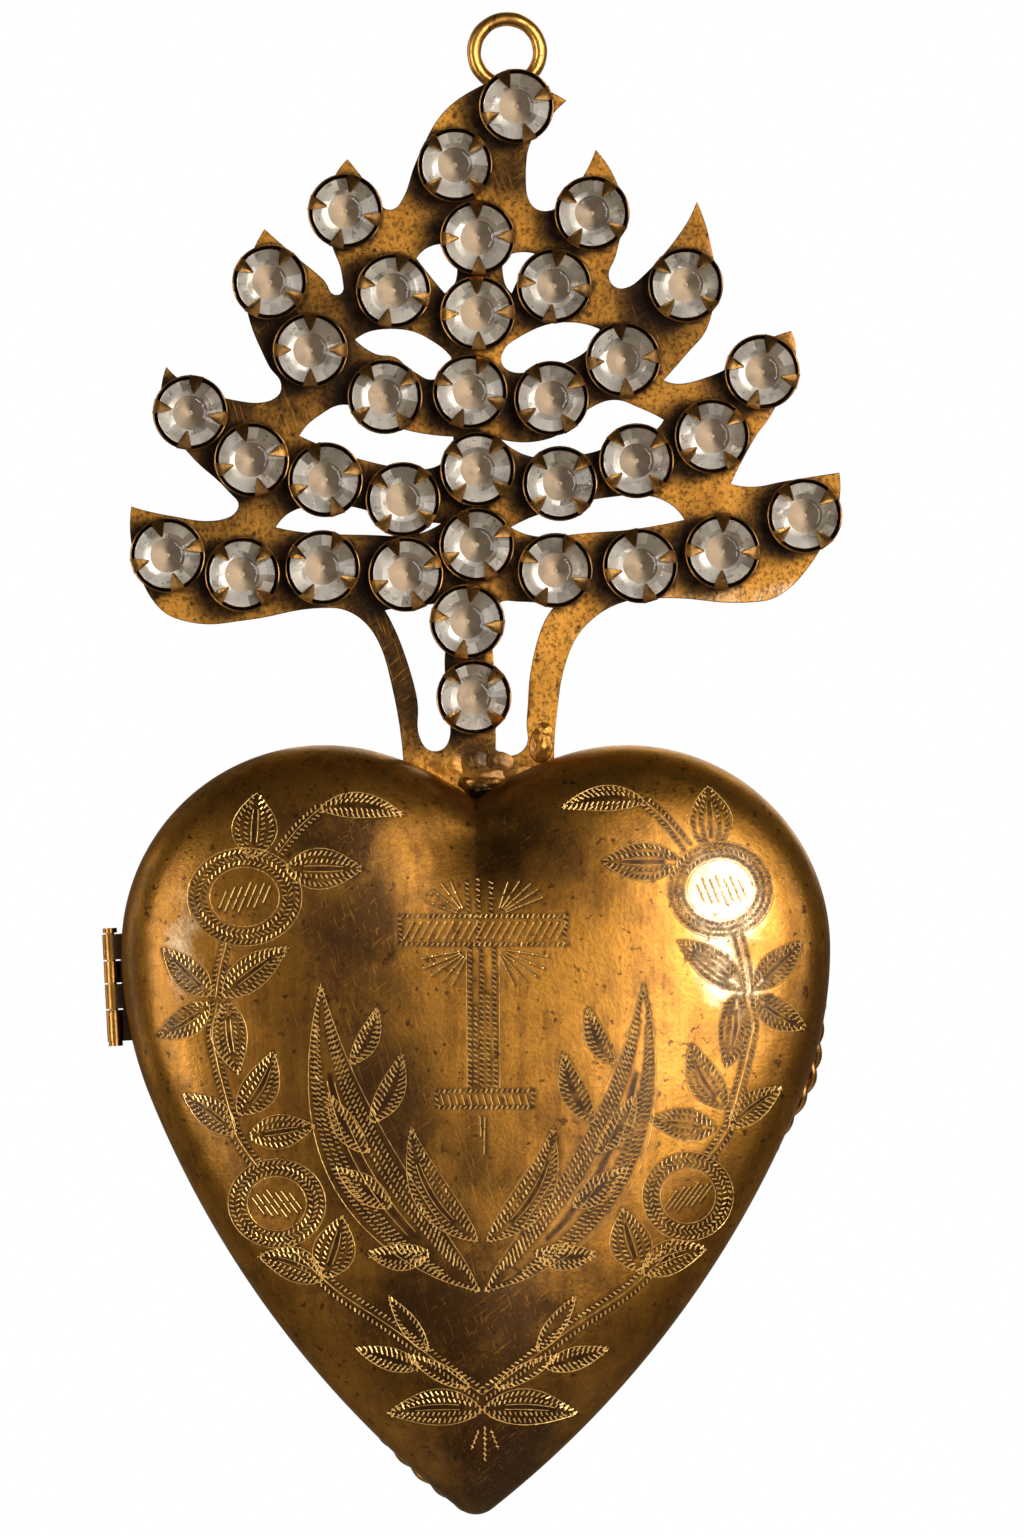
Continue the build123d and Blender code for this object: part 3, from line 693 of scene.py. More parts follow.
# Each leaf: its base, tip, width and bend
GARLAND_LEAVES = [
    ((254, 857), (258, 793), 41, 0),
    ((321, 808), (403, 814), 23, 6),
    ((287, 868), (363, 868), 37, 0),
    ((212, 994), (165, 949), 29, 0),
    ((211, 1003), (160, 1034), 28, 3),
    ((224, 995), (288, 947), 31, 2),
    ((230, 1001), (240, 1071), 33, -4),
    ((240, 1113), (275, 1050), 33, -6),
    ((236, 1132), (185, 1094), 27, -3),
    ((251, 1134), (315, 1124), 31, 0),
    ((325, 1275), (343, 1214), 38, -2),
    ((324, 1277), (260, 1254), 31, -5),
]
SHEAF_LEAVES = [
    ((428, 1348), (390, 1294), 17, 0),
    ((420, 1364), (358, 1346), 21, 0),
    ((482, 1406), (389, 1411), 33, -5),
    ((470, 1384), (408, 1352), 16, 0),
]
FROND_LEAVES = [
    ((480, 1288), (322, 984), 64, 46),
    ((478, 1238), (412, 1126), 34, 16),
    ((392, 1204), (338, 1166), 24, 0),
    ((368, 1150), (330, 1092), 22, 4),
    ((372, 1120), (402, 1052), 24, -6),
    ((352, 1062), (378, 1006), 20, -5),
    ((430, 1250), (368, 1250), 24, 4),
]
# Each stem: its line and width
GARLAND_STEMS = [
    ([(279, 853), (300, 827), (321, 808)], 8),
    ([(228, 942), (221, 970), (217, 997)], 8),
    ([(219, 1001), (214, 1033), (219, 1062), (226, 1090), (238, 1134)], 8),
    ([(239, 1136), (248, 1150), (258, 1163)], 9),
    ([(287, 1240), (305, 1258), (324, 1276), (345, 1293), (395, 1326), (456, 1372), (484, 1392)], 11),
]
# Each rose: its middle, half width, half height and the lean of its strokes
ROSES = [((246, 896), 54, 46, 0.42), ((278, 1201), 46, 42, -0.75)]


def mirrored(points, lift=0.0):
    """Places on the other side of the lid's middle, lifted a little."""
    return [(MIRROR_X - x, y - lift) for x, y in points]


work = Chasing()
for base, tip, width, bend in GARLAND_LEAVES:
    chase_leaf(work, base, tip, width, bend)
    chase_leaf(work, *mirrored((base, tip), GARLAND_LIFT), width, -bend)
for line, width in GARLAND_STEMS:
    chase_stem(work, line, width)
    chase_stem(work, mirrored(line, GARLAND_LIFT if line[0][1] < LOW_STEM_Y else 0.0), width)
for middle, wide, tall, lean in ROSES:
    chase_rose(work, middle, wide, tall, lean)
    chase_rose(work, mirrored([middle], GARLAND_LIFT)[0], wide - 3, tall, -lean)
for base, tip, width, bend in SHEAF_LEAVES + FROND_LEAVES:
    chase_leaf(work, base, tip, width, bend)
    chase_leaf(work, *mirrored((base, tip)), width, -bend)
base, tip, width, bend = FROND_LEAVES[0]
for side in (-1, 1):
    work.row(leaf_side(base, tip, width, bend, side, 0.63, 0.08, 0.93), slant=side * 55)
    work.row(leaf_side(*mirrored((base, tip)), width, -bend, side, 0.63, 0.08, 0.93), slant=side * 55)

# Cross with rays: each ray's start is shared by a fan of ends
CROSS_BARS = [
    [(467, 880), (469, 914)],
    [(478, 876), (479, 946)],
    [(491, 879), (491, 914)],
    [(400, 915), (566, 915)],
    [(399, 943), (567, 943)],
    [(400, 915), (402, 943)],
    [(566, 913), (564, 944)],
    [(470, 946), (470, 1086)],
    [(482, 950), (482, 1084)],
    [(494, 946), (496, 1086)],
    [(476, 1004), (476, 1084)],
    [(488, 992), (489, 1084)],
    [(437, 1089), (533, 1088)],
    [(437, 1105), (533, 1105)],
    [(437, 1089), (437, 1105)],
    [(533, 1088), (533, 1105)],
]
RAYS = [
    ((466, 915), [(423, 899), (430, 887), (440, 881), (450, 879)]),
    ((496, 915), [(508, 880), (520, 879), (531, 882), (538, 888), (543, 896)]),
    ((470, 948), [(421, 957), (423, 967), (431, 974), (442, 980), (452, 984)]),
    ((496, 947), [(548, 955), (544, 967), (536, 975), (526, 981), (514, 984)]),
]
RAY_GAP = 0.2
FOOT_STROKES = [((480, 1113), (481, 1134)), ((485, 1114), (484, 1152))]
# Hatching of the arms and the foot: first and last place and step across, then a stroke's ends from there
HATCHES = [((406, 562, 8.0), (-2, 938), (8, 920)), ((443, 531, 7.0), (1, 1103), (-2, 1092))]
SHAFT_RIMS = [[(466.5, 948), (467.5, 1086)], [(499.0, 948), (500.0, 1086)]]
TIP_DROPS = [[(479, 1426), (471, 1447)], [(485, 1422), (485, 1456)], [(491, 1426), (499, 1447)]]
for bar in CROSS_BARS:
    work.row(bar, slant=62, length=5.6)
for start, end in FOOT_STROKES:
    work.stroke(start, end)
for run, (start_x, start_y), (end_x, end_y) in HATCHES:
    for x in np.arange(*run):
        work.stroke((x + start_x, start_y), (x + end_x, end_y))
for line in SHAFT_RIMS:
    work.rim(line)
for (x, y), ends in RAYS:
    for end in ends:
        work.stroke((x + (end[0] - x) * RAY_GAP, y + (end[1] - y) * RAY_GAP), end)
for line in TIP_DROPS:
    work.row(line, slant=40, length=4.6)
    work.rim(line)

# Lid: its dome, dents and sunk bands on grids, read back at any place

GRID_LOW = np.array([HEART_X - 40.0, LOBES_Z - 62.0])
GRID_SPAN = (80.0, 86.0)
COARSE = 0.5
FINE = 0.1
BAND_SLOPE = 0.16
BAND_DEPTH = 0.018
SOFT_SPREAD = 7.0
SOFT_START = 4.0
SOFT_RUN = 9.0
DENTS = 70
DENT_DEPTH = 0.055
DENT_SIZES = (3.0, 8.0)
CROWN_DROP = 1.3
CROWN_HALF = 30.0
CROWN_RUN = 10.0
VALLEY_DEPTH = 0.9
VALLEY_WIDTH = 4.5
VALLEY_START = 4.5
VALLEY_LEVEL = 3.0
VALLEY_END = 12.0
BLOCK = 4000

edge_places = heart_ring(0.0, 0.2)


def edge_distance(places):
    """Distance from the heart's outline, worked out a block at a time."""
    found = []
    for start in range(0, len(places), BLOCK):
        block = places[start:start + BLOCK]
        across = block[:, None, 0] - edge_places[None, :, 0]
        up = block[:, None, 1] - edge_places[None, :, 1]
        found.append(np.sqrt((across**2 + up**2).min(axis=1)))
    return np.concatenate(found)


def grid_places(step):
    """Places of a square grid over the heart."""
    across = np.arange(0, GRID_SPAN[0], step)
    up = np.arange(0, GRID_SPAN[1], step)
    return np.stack(np.meshgrid(across, up, indexing="ij"), axis=-1) + GRID_LOW


def read_grid(grid, step, places):
    """Value of a grid between its points."""
    at = (places - GRID_LOW) / step
    low = np.clip(np.floor(at).astype(int), 0, np.array(grid.shape) - 2)
    u, v = np.clip(at - low, 0.0, 1.0).T
    i, j = low.T
    near = grid[i, j] * (1 - u) * (1 - v) + grid[i + 1, j] * u * (1 - v)
    return near + grid[i, j + 1] * (1 - u) * v + grid[i + 1, j + 1] * u * v


def blurred(grid, spread):
    """Grid smoothed by a bell curve, with the spread in grid steps."""
    reach = ceil(3 * spread)
    bell = np.exp(-0.5 * (np.arange(-reach, reach + 1) / spread) ** 2)
    bell /= bell.sum()
    for axis in (0, 1):
        grid = np.apply_along_axis(np.convolve, axis, grid, bell, "same")
    return grid


coarse = grid_places(COARSE)
coarse_flat = coarse.reshape(-1, 2)
coarse_depth = np.where(inside(coarse_flat, [heart_ring(0.0, 1.0)]), edge_distance(coarse_flat), 0.0)
soft_grid = blurred(lid_profile(coarse_depth).reshape(coarse.shape[:2]), SOFT_SPREAD)
dent_grid = np.zeros_like(soft_grid)
for _ in range(DENTS):
    middle = GRID_LOW + rng.uniform(0, 1, 2) * GRID_SPAN
    size = rng.uniform(*DENT_SIZES)
    gap = ((coarse - middle) ** 2).sum(axis=-1)
    dent_grid += rng.normal(0, DENT_DEPTH) * np.exp(-gap / (2 * size**2))

band_grid = np.zeros(tuple(int(span / FINE) for span in GRID_SPAN))
for line, sink in work.trails:
    if sink <= 0:
        continue
    half = sink * PIXEL
    reach = ceil((half + BAND_SLOPE) / FINE)
    offsets = np.arange(-reach, reach + 1) * FINE
    gap = np.hypot(*np.meshgrid(offsets, offsets, indexing="ij"))
    stamp = np.clip((half + BAND_SLOPE - gap) / BAND_SLOPE, 0.0, 1.0)
    for i, j in np.unique(((to_mm(line) - GRID_LOW) / FINE).round().astype(int), axis=0):
        patch = band_grid[i - reach:i + reach + 1, j - reach:j + reach + 1]
        np.maximum(patch, stamp, out=patch)


def valley(places):
    """Crease that runs down from the cleft between the lobes, deepest near it."""
    drop = LOBES_Z + cleft[1] - places[:, 1]
    across = np.abs(places[:, 0] - HEART_X)
    share = eased(drop / VALLEY_START) * (1 - eased((drop - VALLEY_LEVEL) / VALLEY_END))
    return VALLEY_DEPTH * np.exp(-across / VALLEY_WIDTH) * share


def lid_rise(places, depth):
    """Height of the lid's face over its skirt, before its sunk bands."""
    share = eased((depth - SOFT_START) / SOFT_RUN)
    soft = read_grid(soft_grid, COARSE, places)
    dents = read_grid(dent_grid, COARSE, places)
    inner = np.clip(depth / CROWN_RUN, 0.0, 1.0)
    fall = CROWN_DROP * ((places[:, 0] - HEART_X) / CROWN_HALF) ** 2
    return lid_profile(depth) * (1 - share) + soft * share + (dents - fall) * inner - valley(places)


def lid_surface(places, depth):
    """Points of the lid's face and how far each lies in a sunk band."""
    band = read_grid(band_grid, FINE, places)
    return stand(places, SEAM_Y - LID_SKIRT - lid_rise(places, depth) + BAND_DEPTH * band), band


LID_STEP = 0.22
RIM_STEP = 0.32
INNER_RUN = 4.0
INNER_STEP = 0.9
INNER_ROWS = 9
RIM_INSETS = (0.0, 0.1, 0.25, 0.45, 0.7, 1.05, 1.5, 2.1, 2.8)


def lid_field(inset, step):
    """Staggered places within the heart at an inset."""
    grid = grid_places(step)
    grid[1::2, :, 1] += step / 2
    field = grid.reshape(-1, 2)
    return field[inside(field, [heart_ring(inset + 0.6 * step, 0.5)])]


def build_lid():
    """Inner side, rows up its wall and over the seam to the edge, then the face on a fine grid."""
    rows = []
    for inset in np.linspace(INNER_RUN, 0, INNER_ROWS):
        ring = heart_ring(WALL + inset, RIM_STEP)
        rise = lid_rise(ring, np.full(len(ring), inset)) - WALL
        rows.append(stand(ring, SEAM_Y - LID_SKIRT - np.maximum(rise, -WALL)))
    rows.append(stand(heart_ring(WALL, RIM_STEP), SEAM_Y))
    rows.append(stand(heart_ring(0.0, RIM_STEP), SEAM_Y))
    rows.append(stand(heart_ring(0.0, RIM_STEP), SEAM_Y - LID_SKIRT * 0.5))
    rim_count = len(rows[0])
    bands = [np.zeros(rim_count * len(rows))]
    for inset in RIM_INSETS:
        ring = heart_ring(inset, RIM_STEP)
        row, band = lid_surface(ring, np.full(len(ring), inset))
        rows.append(row)
        bands.append(band)
    faces = ring_faces(len(rows), rim_count)
    first = (len(rows) - 1) * rim_count
    field = lid_field(RIM_INSETS[-1], LID_STEP)
    outer_points, band = lid_surface(field, edge_distance(field))
    outer = fill([heart_ring(RIM_INSETS[-1], RIM_STEP)], field)
    faces += (outer + first)[:, ::-1].tolist()
    field = lid_field(WALL + INNER_RUN, INNER_STEP)
    inner_points = stand(field, SEAM_Y - LID_SKIRT + WALL - lid_rise(field, edge_distance(field) - WALL))
    inner = fill([heart_ring(WALL + INNER_RUN, RIM_STEP)], field)
    faces += np.where(inner < rim_count, inner, inner + first + len(outer_points)).tolist()
    points = np.vstack(rows + [outer_points, inner_points])
    piece = make_piece("lid_shell", points, faces, heart_brass, 42)
    # Sunk bands: dark tarnish in them, painted shadow in the cuts beside the strokes
    mark(piece, "tarnish_and_shade", np.concatenate(bands + [band, np.zeros(len(inner_points))]))
    # Stains, painted highlights and painted shade over the lid
    mark(piece, "stain_light_map", stain_light_map(points, LID_STAIN_LIGHT))
    return piece


settle(build_lid(), "lid", "heart_brass", "front_shell")

# Ticks: corners along, across and above the face, as shares of a tick's length and width
TICK_CORNERS = ((-0.5, -0.5, 0), (0.5, -0.5, 0), (0.5, 0.5, 0), (-0.5, 0.5, 0), (-0.3, 0, 1), (0.3, 0, 1))
TICK_FACES = ((0, 3, 2, 1), (0, 1, 5, 4), (2, 3, 4, 5), (1, 2, 5), (3, 0, 4))
TICK_ROOT = 0.06
TICK_MARGIN = 0.8
SLOPE_REACH = 0.3


def lid_slope(places):
    """How steeply the lid's face rises to the right, then upwards."""
    for shift in np.eye(2) * SLOPE_REACH:
        ahead, behind = (lid_rise(spots, edge_distance(spots)) for spots in (places + shift, places - shift))
        yield (ahead - behind) / (2 * SLOPE_REACH)


def build_ticks():
    """Each tick is a small hipped roof, set into the face along its slope."""
    table = np.array(work.ticks)
    table = table[inside(table[:, :2], [heart_ring(TICK_MARGIN, 0.5)])]
    places = table[:, :2]
    way, length, width, height = table[:, 2:].T
    slope_x, slope_z = lid_slope(places)
    normal = unit(np.column_stack([-slope_x, -np.ones(len(places)), -slope_z]))
    fall = -(slope_x * np.cos(way) + slope_z * np.sin(way))
    along = unit(np.column_stack([np.cos(way), fall, np.sin(way)]))
    across = np.cross(normal, along)
    centre, _ = lid_surface(places, edge_distance(places))
    corners = []
    for a, b, top in TICK_CORNERS:
        lift = height if top else np.full(len(height), -TICK_ROOT)
        spread = along * (a * length)[:, None] + across * (b * width)[:, None]
        corners.append(centre + spread + normal * lift[:, None])
    points = np.stack(corners, axis=1).reshape(-1, 3)
    firsts = np.arange(len(table)) * len(TICK_CORNERS)
    faces = [tuple(first + corner for corner in face) for first in firsts for face in TICK_FACES]
    return make_piece("chased_ticks", points, faces, tick_brass)


settle(build_ticks(), "lid", "heart_brass")

# Back, with its neck
BACK_STEP = 0.7
BACK_ROWS = 8
BACK_EDGE_RUN = 2.5
BACK_CROWN_START = 3.4


def build_back():
    """Outer side from the flat middle to the neck, then the inner side."""
    edge_runs = np.linspace(0, BACK_EDGE_RUN, BACK_ROWS)
    sides = []
    for inset, dome in ((BACK_INSET, BACK_DOME), (BACK_INSET + WALL, BACK_DOME - WALL)):
        reach = LOBE_R - inset - BACK_FLAT
        side = [stand(heart_ring(inset, BACK_STEP), y) for y in (SEAM_Y - NECK, SEAM_Y)]
        for run in np.concatenate([edge_runs, np.linspace(BACK_CROWN_START, reach, BACK_ROWS)]):
            rise = BACK_SKIRT + back_profile(run, reach, dome)
            side.append(stand(heart_ring(inset + run, BACK_STEP), SEAM_Y + rise))
        sides.append(side)
    outer, inner = sides
    rows = outer[::-1] + inner
    return make_piece("back_case", np.vstack(rows), capped_faces(len(rows), len(rows[0])), back_brass, 42)


settle(build_back(), "back_half", "heart_brass", "back_shell")

# Crest: loops of the solid's front face, evened out, with eased edges and a slightly uneven face

CREST_EASE = 0.09
CREST_STEP = 0.45
CREST_GRID = 0.5
CREST_MARGIN = 0.4
# Unevenness of the crest's face: lift, height and pace
CREST_WAVE = (0.02, 0.045, 0.22)
CREST_CORNER = radians(30)
CREST_PROBE = 0.05
# Reach of the painted shadow on a cup's shaded side and round the rest of it
CUP_SHADOW_REACH = (2.6, 0.15)
CUP_SHADOW_WAY = radians(192)
CUP_SHADOW_START = 0.1
CUP_SHADOW_DEPTH = 0.3
# Darker patch on the foot, down in the cleft: its place, size and strength
FOOT_PATCH_PLACE = (481, 794)
FOOT_PATCH_SIZE = (2.0, 1.25)
FOOT_PATCH_STRENGTH = 1.4
CUP_R = 3.98
crest_low, crest_high = (np.array(corner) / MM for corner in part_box("crest_plate"))
crest_front = crest_low[1]
stone_places = {}
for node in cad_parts:
    if node.startswith("stone_"):
        low, high = (np.array(corner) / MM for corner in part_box(node))
        stone_places[node] = ((low[0] + high[0]) / 2, (low[2] + high[2]) / 2)


def face_loops(node):
    """Closed loops round the front face of a flat solid, in millimetres."""
    plate = bmesh.new()
    plate.from_mesh(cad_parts[node].data)
    bmesh.ops.remove_doubles(plate, verts=plate.verts, dist=1e-6)
    front = {face for face in plate.faces if face.normal.y < -0.99}
    following = {}
    for face in front:
        for loop in face.loops:
            if sum(other in front for other in loop.edge.link_faces) == 1:
                following[loop.vert.index] = loop.link_loop_next.vert.index
    spots = {vert.index: (vert.co.x / MM, vert.co.z / MM) for vert in plate.verts}
    plate.free()
    loops = []
    while following:
        start, place = following.popitem()
        loop = [start]
        while place != start:
            loop.append(place)
            place = following.pop(place)
        loops.append(np.array([spots[index] for index in loop]))
    return loops


def even_loop(loop, step):
    """The loop with even places between its sharp corners."""
    ahead = np.roll(loop, -1, axis=0) - loop
    behind = loop - np.roll(loop, 1, axis=0)
    turn = np.arctan2(behind[:, 0] * ahead[:, 1] - behind[:, 1] * ahead[:, 0], (behind * ahead).sum(axis=1))
    corners = np.flatnonzero(np.abs(turn) > CREST_CORNER)
    if len(corners) == 0:
        corners = np.array([0])
    loop = np.roll(loop, -corners[0], axis=0)
    stops = list(corners - corners[0]) + [len(loop)]
    closed = np.vstack([loop, loop[:1]])
    found = []
    for first, last in zip(stops, stops[1:]):
        run = closed[first:last + 1]
        length = length_along(run)[-1]
        found.append(places_along(run, np.linspace(0, length, max(2, ceil(length / step)) + 1)[:-1]))
    return np.vstack(found)


def painted_cup_shadow(points):
    """Painted shadow on the front of the crest round the cups, widest to the left of a cup, where its cast
    shadow falls.
    """
    found = np.zeros(len(points))
    wide, narrow = CUP_SHADOW_REACH
    for x, z in stone_places.values():
        across, up = points[:, 0] - x, points[:, 2] - z
        away = np.hypot(across, up)
        toward = (across * cos(CUP_SHADOW_WAY) + up * sin(CUP_SHADOW_WAY)) / np.maximum(away, 0.1)
        reach = narrow + (wide - narrow) * eased((toward - CUP_SHADOW_START) / (1 - CUP_SHADOW_START))
        found = np.maximum(found, np.exp(-((np.maximum(away - CUP_R, 0.0) / reach) ** 3)))
    return found * (points[:, 1] < crest_front + CUP_SHADOW_DEPTH)


def foot_dark_patch(points):
    """Darker patch on the foot, down in the cleft."""
    return np.clip(FOOT_PATCH_STRENGTH * np.exp(-gap_from(points, FOOT_PATCH_PLACE, *FOOT_PATCH_SIZE)), 0.0, 1.0)


def build_crest():
    """Plate with eased edges from the loops of its front face."""
    loops = [even_loop(loop, CREST_STEP) for loop in face_loops("crest_plate")]
    metal_left = inside(loops[0] + left_of(loops[0]) * CREST_PROBE, loops).mean() > 0.5
    sign = 1.0 if metal_left else -1.0
    inner = [loop + sign * left_of(loop) * CREST_EASE for loop in loops]
    axes = (np.arange(crest_low[axis], crest_high[axis], CREST_GRID) for axis in (0, 2))
    grid = np.stack(np.meshgrid(*axes), axis=-1).reshape(-1, 2)
    grid = grid[inside(grid, inner)]
    near = np.vstack(loops)
    gaps = np.array([((near - place) ** 2).sum(axis=1).min() for place in grid])
    grid = grid[gaps > CREST_MARGIN**2]
    flat = np.vstack(inner + [grid])
    count = len(flat)
    lift, height, pace = CREST_WAVE
    wave = np.array([noise.noise((x * pace, z * pace, 4.0)) for x, z in flat])
    back = crest_high[1]
    points = [stand(flat, crest_front + lift + height * wave), stand(flat, back)]
    kept = fill(inner, grid)
    faces = kept.tolist() + (kept + count)[:, ::-1].tolist()
    base = 2 * count
    start = 0
    for loop in loops:
        size = len(loop)
        points += [stand(loop, crest_front + CREST_EASE), stand(loop, back - CREST_EASE)]
        here = np.arange(size)
        after = np.roll(here, -1)
        shifts = (start, base, base + size, count + start)
        for upper, lower in zip(shifts, shifts[1:]):
            faces += zip(upper + after, upper + here, lower + here, lower + after)
        base += 2 * size
        start += size
    points = np.vstack(points)
    piece = make_piece("crest_flames", points, faces, crest_brass, 30)
    # Painted shadows round the cups and the darker patch on the foot
    mark(piece, "tarnish_and_shade", np.maximum(painted_cup_shadow(points), foot_dark_patch(points)))
    # Stains and painted light and shade over the crest
    mark(piece, "stain_light_map", stain_light_map(points, CREST_STAIN_LIGHT))
    return piece


settle(build_crest(), "back_half", "crest_brass", "crest_plate")

# Stones in claw cups: heights are above the crest's face

STONE_R = 3.46
TABLE_R = 1.5
BEVEL = (0.11, 0.03)
CONE_R = 1.48
CONE_TIP = (0.25, 0.9)
PAVILION_R = 2.1
PAVILION_DROPS = (0.14, 0.25)
PAVILION_SHADE = -0.25
FACET_TILT = 0.06
# Mean and spread of how pale a facet or a cone is
FACET_TONE = (0.15, 0.4)
CONE_TONE = (-0.1, 0.28)
CONE_CONTRAST = 1.2
GIRDLE_LOW = 2.45
GIRDLE_HIGH = 2.7
GIRDLE_SIDES = 48
CROWN_TOP = 4.0
FACETS = 12
# Ways from which the painted light falls on the pavilion facets and on the cone
LIT_WAY = radians(212)
CONE_LIT_WAY = radians(195)
CUP_RIM = 2.75
CUP_SIDES = 48
CUP_SCALLOP = 0.16
CLAWS = 4
CLAW_THICK = 0.25
CLAW_LEAN = 0.12

# Each row of a cup, from its foot over its rim to its inner floor: radius, height and share of the scallop
CUP_ROWS = (
    (3.4, 0.0, 0.0),
    (3.65, 0.1, 0.0),
    (3.8, 1.2, 0.0),
    (CUP_R - 0.02, CUP_RIM - 0.4, 0.5),
    (CUP_R, CUP_RIM - 0.06, 1.0),
    (CUP_R - 0.05, CUP_RIM + 0.02, 1.0),
    (CUP_R - 0.13, CUP_RIM - 0.02, 1.0),
    (CUP_R - 0.17, CUP_RIM - 0.5, 0.4),
    (3.6, 1.7, 0.0),
    (1.0, 0.35, 0.0),
)
# Each row of a claw, from its root to its point: distance from the stone's axis, height and half width
CLAW_ROWS = (
    (CUP_R - 0.02, 2.2, 0.76),
    (CUP_R - 0.02, 2.75, 0.8),
    (3.76, 3.02, 0.76),
    (3.2, 3.36, 0.58),
    (2.64, 3.72, 0.35),
    (2.1, 4.05, 0.1),
)
# Across a claw: share of its half width, and how far its back falls there
CLAW_BACK = ((-1.0, 0.07), (-0.5, 0.01), (0.0, 0.0), (0.5, 0.01), (1.0, 0.07))
# Turn of each stone's claws, in degrees
CLAW_TURNS = {
    "stem": (45, 80, 25, 52, 68, 2, 2),
    "top": (44, 22),
    "lower_left": (17, 44, 62, 22),
    "lower_right": (65, 16, 88, 38),
    "second_left": (80, 17, 20, 53),
    "second_right": (43, 41, 37, 75),
    "third_left": (60, 0, 36),
    "third_right": (33, 6, 52),
    "fourth_left": (76, 75),
    "fourth_right": (82, 57),
}


def circle_row(radius, height, ways):
    """Row of points round a stone's axis."""
    return np.column_stack([radius * np.cos(ways), np.broadcast_to(height, len(ways)), radius * np.sin(ways)])


def build_cup(turn):
    """Cup with a thin scalloped rim and four pointed claws folded over the stone."""
    ways = np.arange(CUP_SIDES) * 2 * pi / CUP_SIDES
    lift = CUP_SCALLOP * np.cos(CLAWS * (ways - turn))
    rows = [circle_row(radius, height + share * lift, ways) for radius, height, share in CUP_ROWS]
    parts = [(np.vstack(rows), capped_faces(len(rows), CUP_SIDES))]
    parts += [build_claw(turn + claw * 2 * pi / CLAWS) for claw in range(CLAWS)]
    return join_parts(parts)


def build_claw(way):
    """Pointed claw from the rim inwards over the crown, arched on top and flat beneath."""
    spoke = np.array([cos(way), 0.0, sin(way)])
    side = np.array([-sin(way), 0.0, cos(way)])
    up = np.array([0.0, 1.0, 0.0])
    points = []
    for lean, thick, curve in ((0.0, 0.0, 1.0), (CLAW_LEAN, CLAW_THICK, 0.0)):
        for radius, height, half in CLAW_ROWS:
            for across, drop in CLAW_BACK:
                place = spoke * (radius - lean) + side * across * half
                points.append(place + up * (height - thick - curve * drop))
    top, low = np.arange(len(points)).reshape(2, len(CLAW_ROWS), len(CLAW_BACK))
    faces = list(zip(top[:-1, :-1].flat, top[1:, :-1].flat, top[1:, 1:].flat, top[:-1, 1:].flat))
    faces += zip(low[:-1, :-1].flat, low[:-1, 1:].flat, low[1:, 1:].flat, low[1:, :-1].flat)
    faces += zip(top[:-1, 0], low[:-1, 0], low[1:, 0], top[1:, 0])
    faces += zip(top[:-1, -1], top[1:, -1], low[1:, -1], low[:-1, -1])
    faces += zip(top[0, :-1], top[0, 1:], low[0, 1:], low[0, :-1])
    faces += zip(top[-1, :-1], low[-1, :-1], low[-1, 1:], top[-1, 1:])
    return np.array(points), faces


def build_stone(turn):
    """Faceted stone: table with a narrow bevel, crown facets, two rows of pavilion facets and a cone."""
    ways = turn + (np.arange(FACETS) + 0.5) * 2 * pi / FACETS
    round_ways = ways[0] + np.arange(GIRDLE_SIDES) * 2 * pi / GIRDLE_SIDES
    rings = [
        (TABLE_R, CROWN_TOP, ways),
        (TABLE_R + BEVEL[0], CROWN_TOP - BEVEL[1], ways),
        (STONE_R, GIRDLE_HIGH, round_ways),
        (STONE_R, GIRDLE_LOW, round_ways),
        (PAVILION_R, GIRDLE_LOW - PAVILION_DROPS[0], round_ways),
        (CONE_R, GIRDLE_LOW - PAVILION_DROPS[1], round_ways),
        (*CONE_TIP, round_ways),
    ]
    points = np.vstack([circle_row(*ring) for ring in rings])
    firsts = np.concatenate([[0], np.cumsum([len(ring[2]) for ring in rings])])
    share = GIRDLE_SIDES // FACETS
    uneven = rng.normal(0, FACET_TILT, FACETS + 1)
    uneven[-1] = uneven[0]
    facet_places = np.arange(GIRDLE_SIDES) / share
    points[firsts[4]:firsts[5], 1] += np.interp(facet_places, np.arange(FACETS + 1), uneven)
    faces = [tuple(range(FACETS))] + ring_faces(2, FACETS)
    for facet in range(FACETS):
        low = [firsts[2] + (facet * share + step) % GIRDLE_SIDES for step in range(share + 1)]
        faces.append((FACETS + facet, FACETS + (facet + 1) % FACETS, *low[::-1]))
    faces += ring_faces(2, GIRDLE_SIDES, firsts[2])
    backing = [0] * len(faces)
    side = [0.0] * len(faces)
    for ring, shift, shade in ((3, share // 2, 0.0), (4, 0, PAVILION_SHADE)):
        for facet in range(FACETS):
            run = [(facet * share + shift + step) % GIRDLE_SIDES for step in range(share + 1)]
            high = (firsts[ring] + place for place in run)
            low = (firsts[ring + 1] + place for place in run[::-1])
            faces.append((*high, *low))
            # Painted light on each facet: pale towards the lit way, the inner row in painted shade, with a
            # random tone
            side.append(cos(round_ways[run[share // 2]] - LIT_WAY) + shade + rng.normal(*FACET_TONE))
            backing.append(1)
    faces += ring_faces(2, GIRDLE_SIDES, firsts[5])
    # Painted light on the cone: pale on its side towards the lit way, with a random tone for each stone
    cone_shade = rng.normal(*CONE_TONE)
    side += [cone_shade + CONE_CONTRAST * cos(way - CONE_LIT_WAY) for way in round_ways + pi / GIRDLE_SIDES]
    faces.append(tuple(range(firsts[6], firsts[6] + GIRDLE_SIDES)))
    side.append(0.0)
    backing += [2] * (GIRDLE_SIDES + 1)
    return points, faces, backing, side


def on_crest(points, x, z):
    """From a stone's own axes, with its height in the middle, to its place on the crest's face."""
    points = np.asarray(points)
    return np.column_stack([x + points[:, 0], crest_front - points[:, 1], z + points[:, 2]])


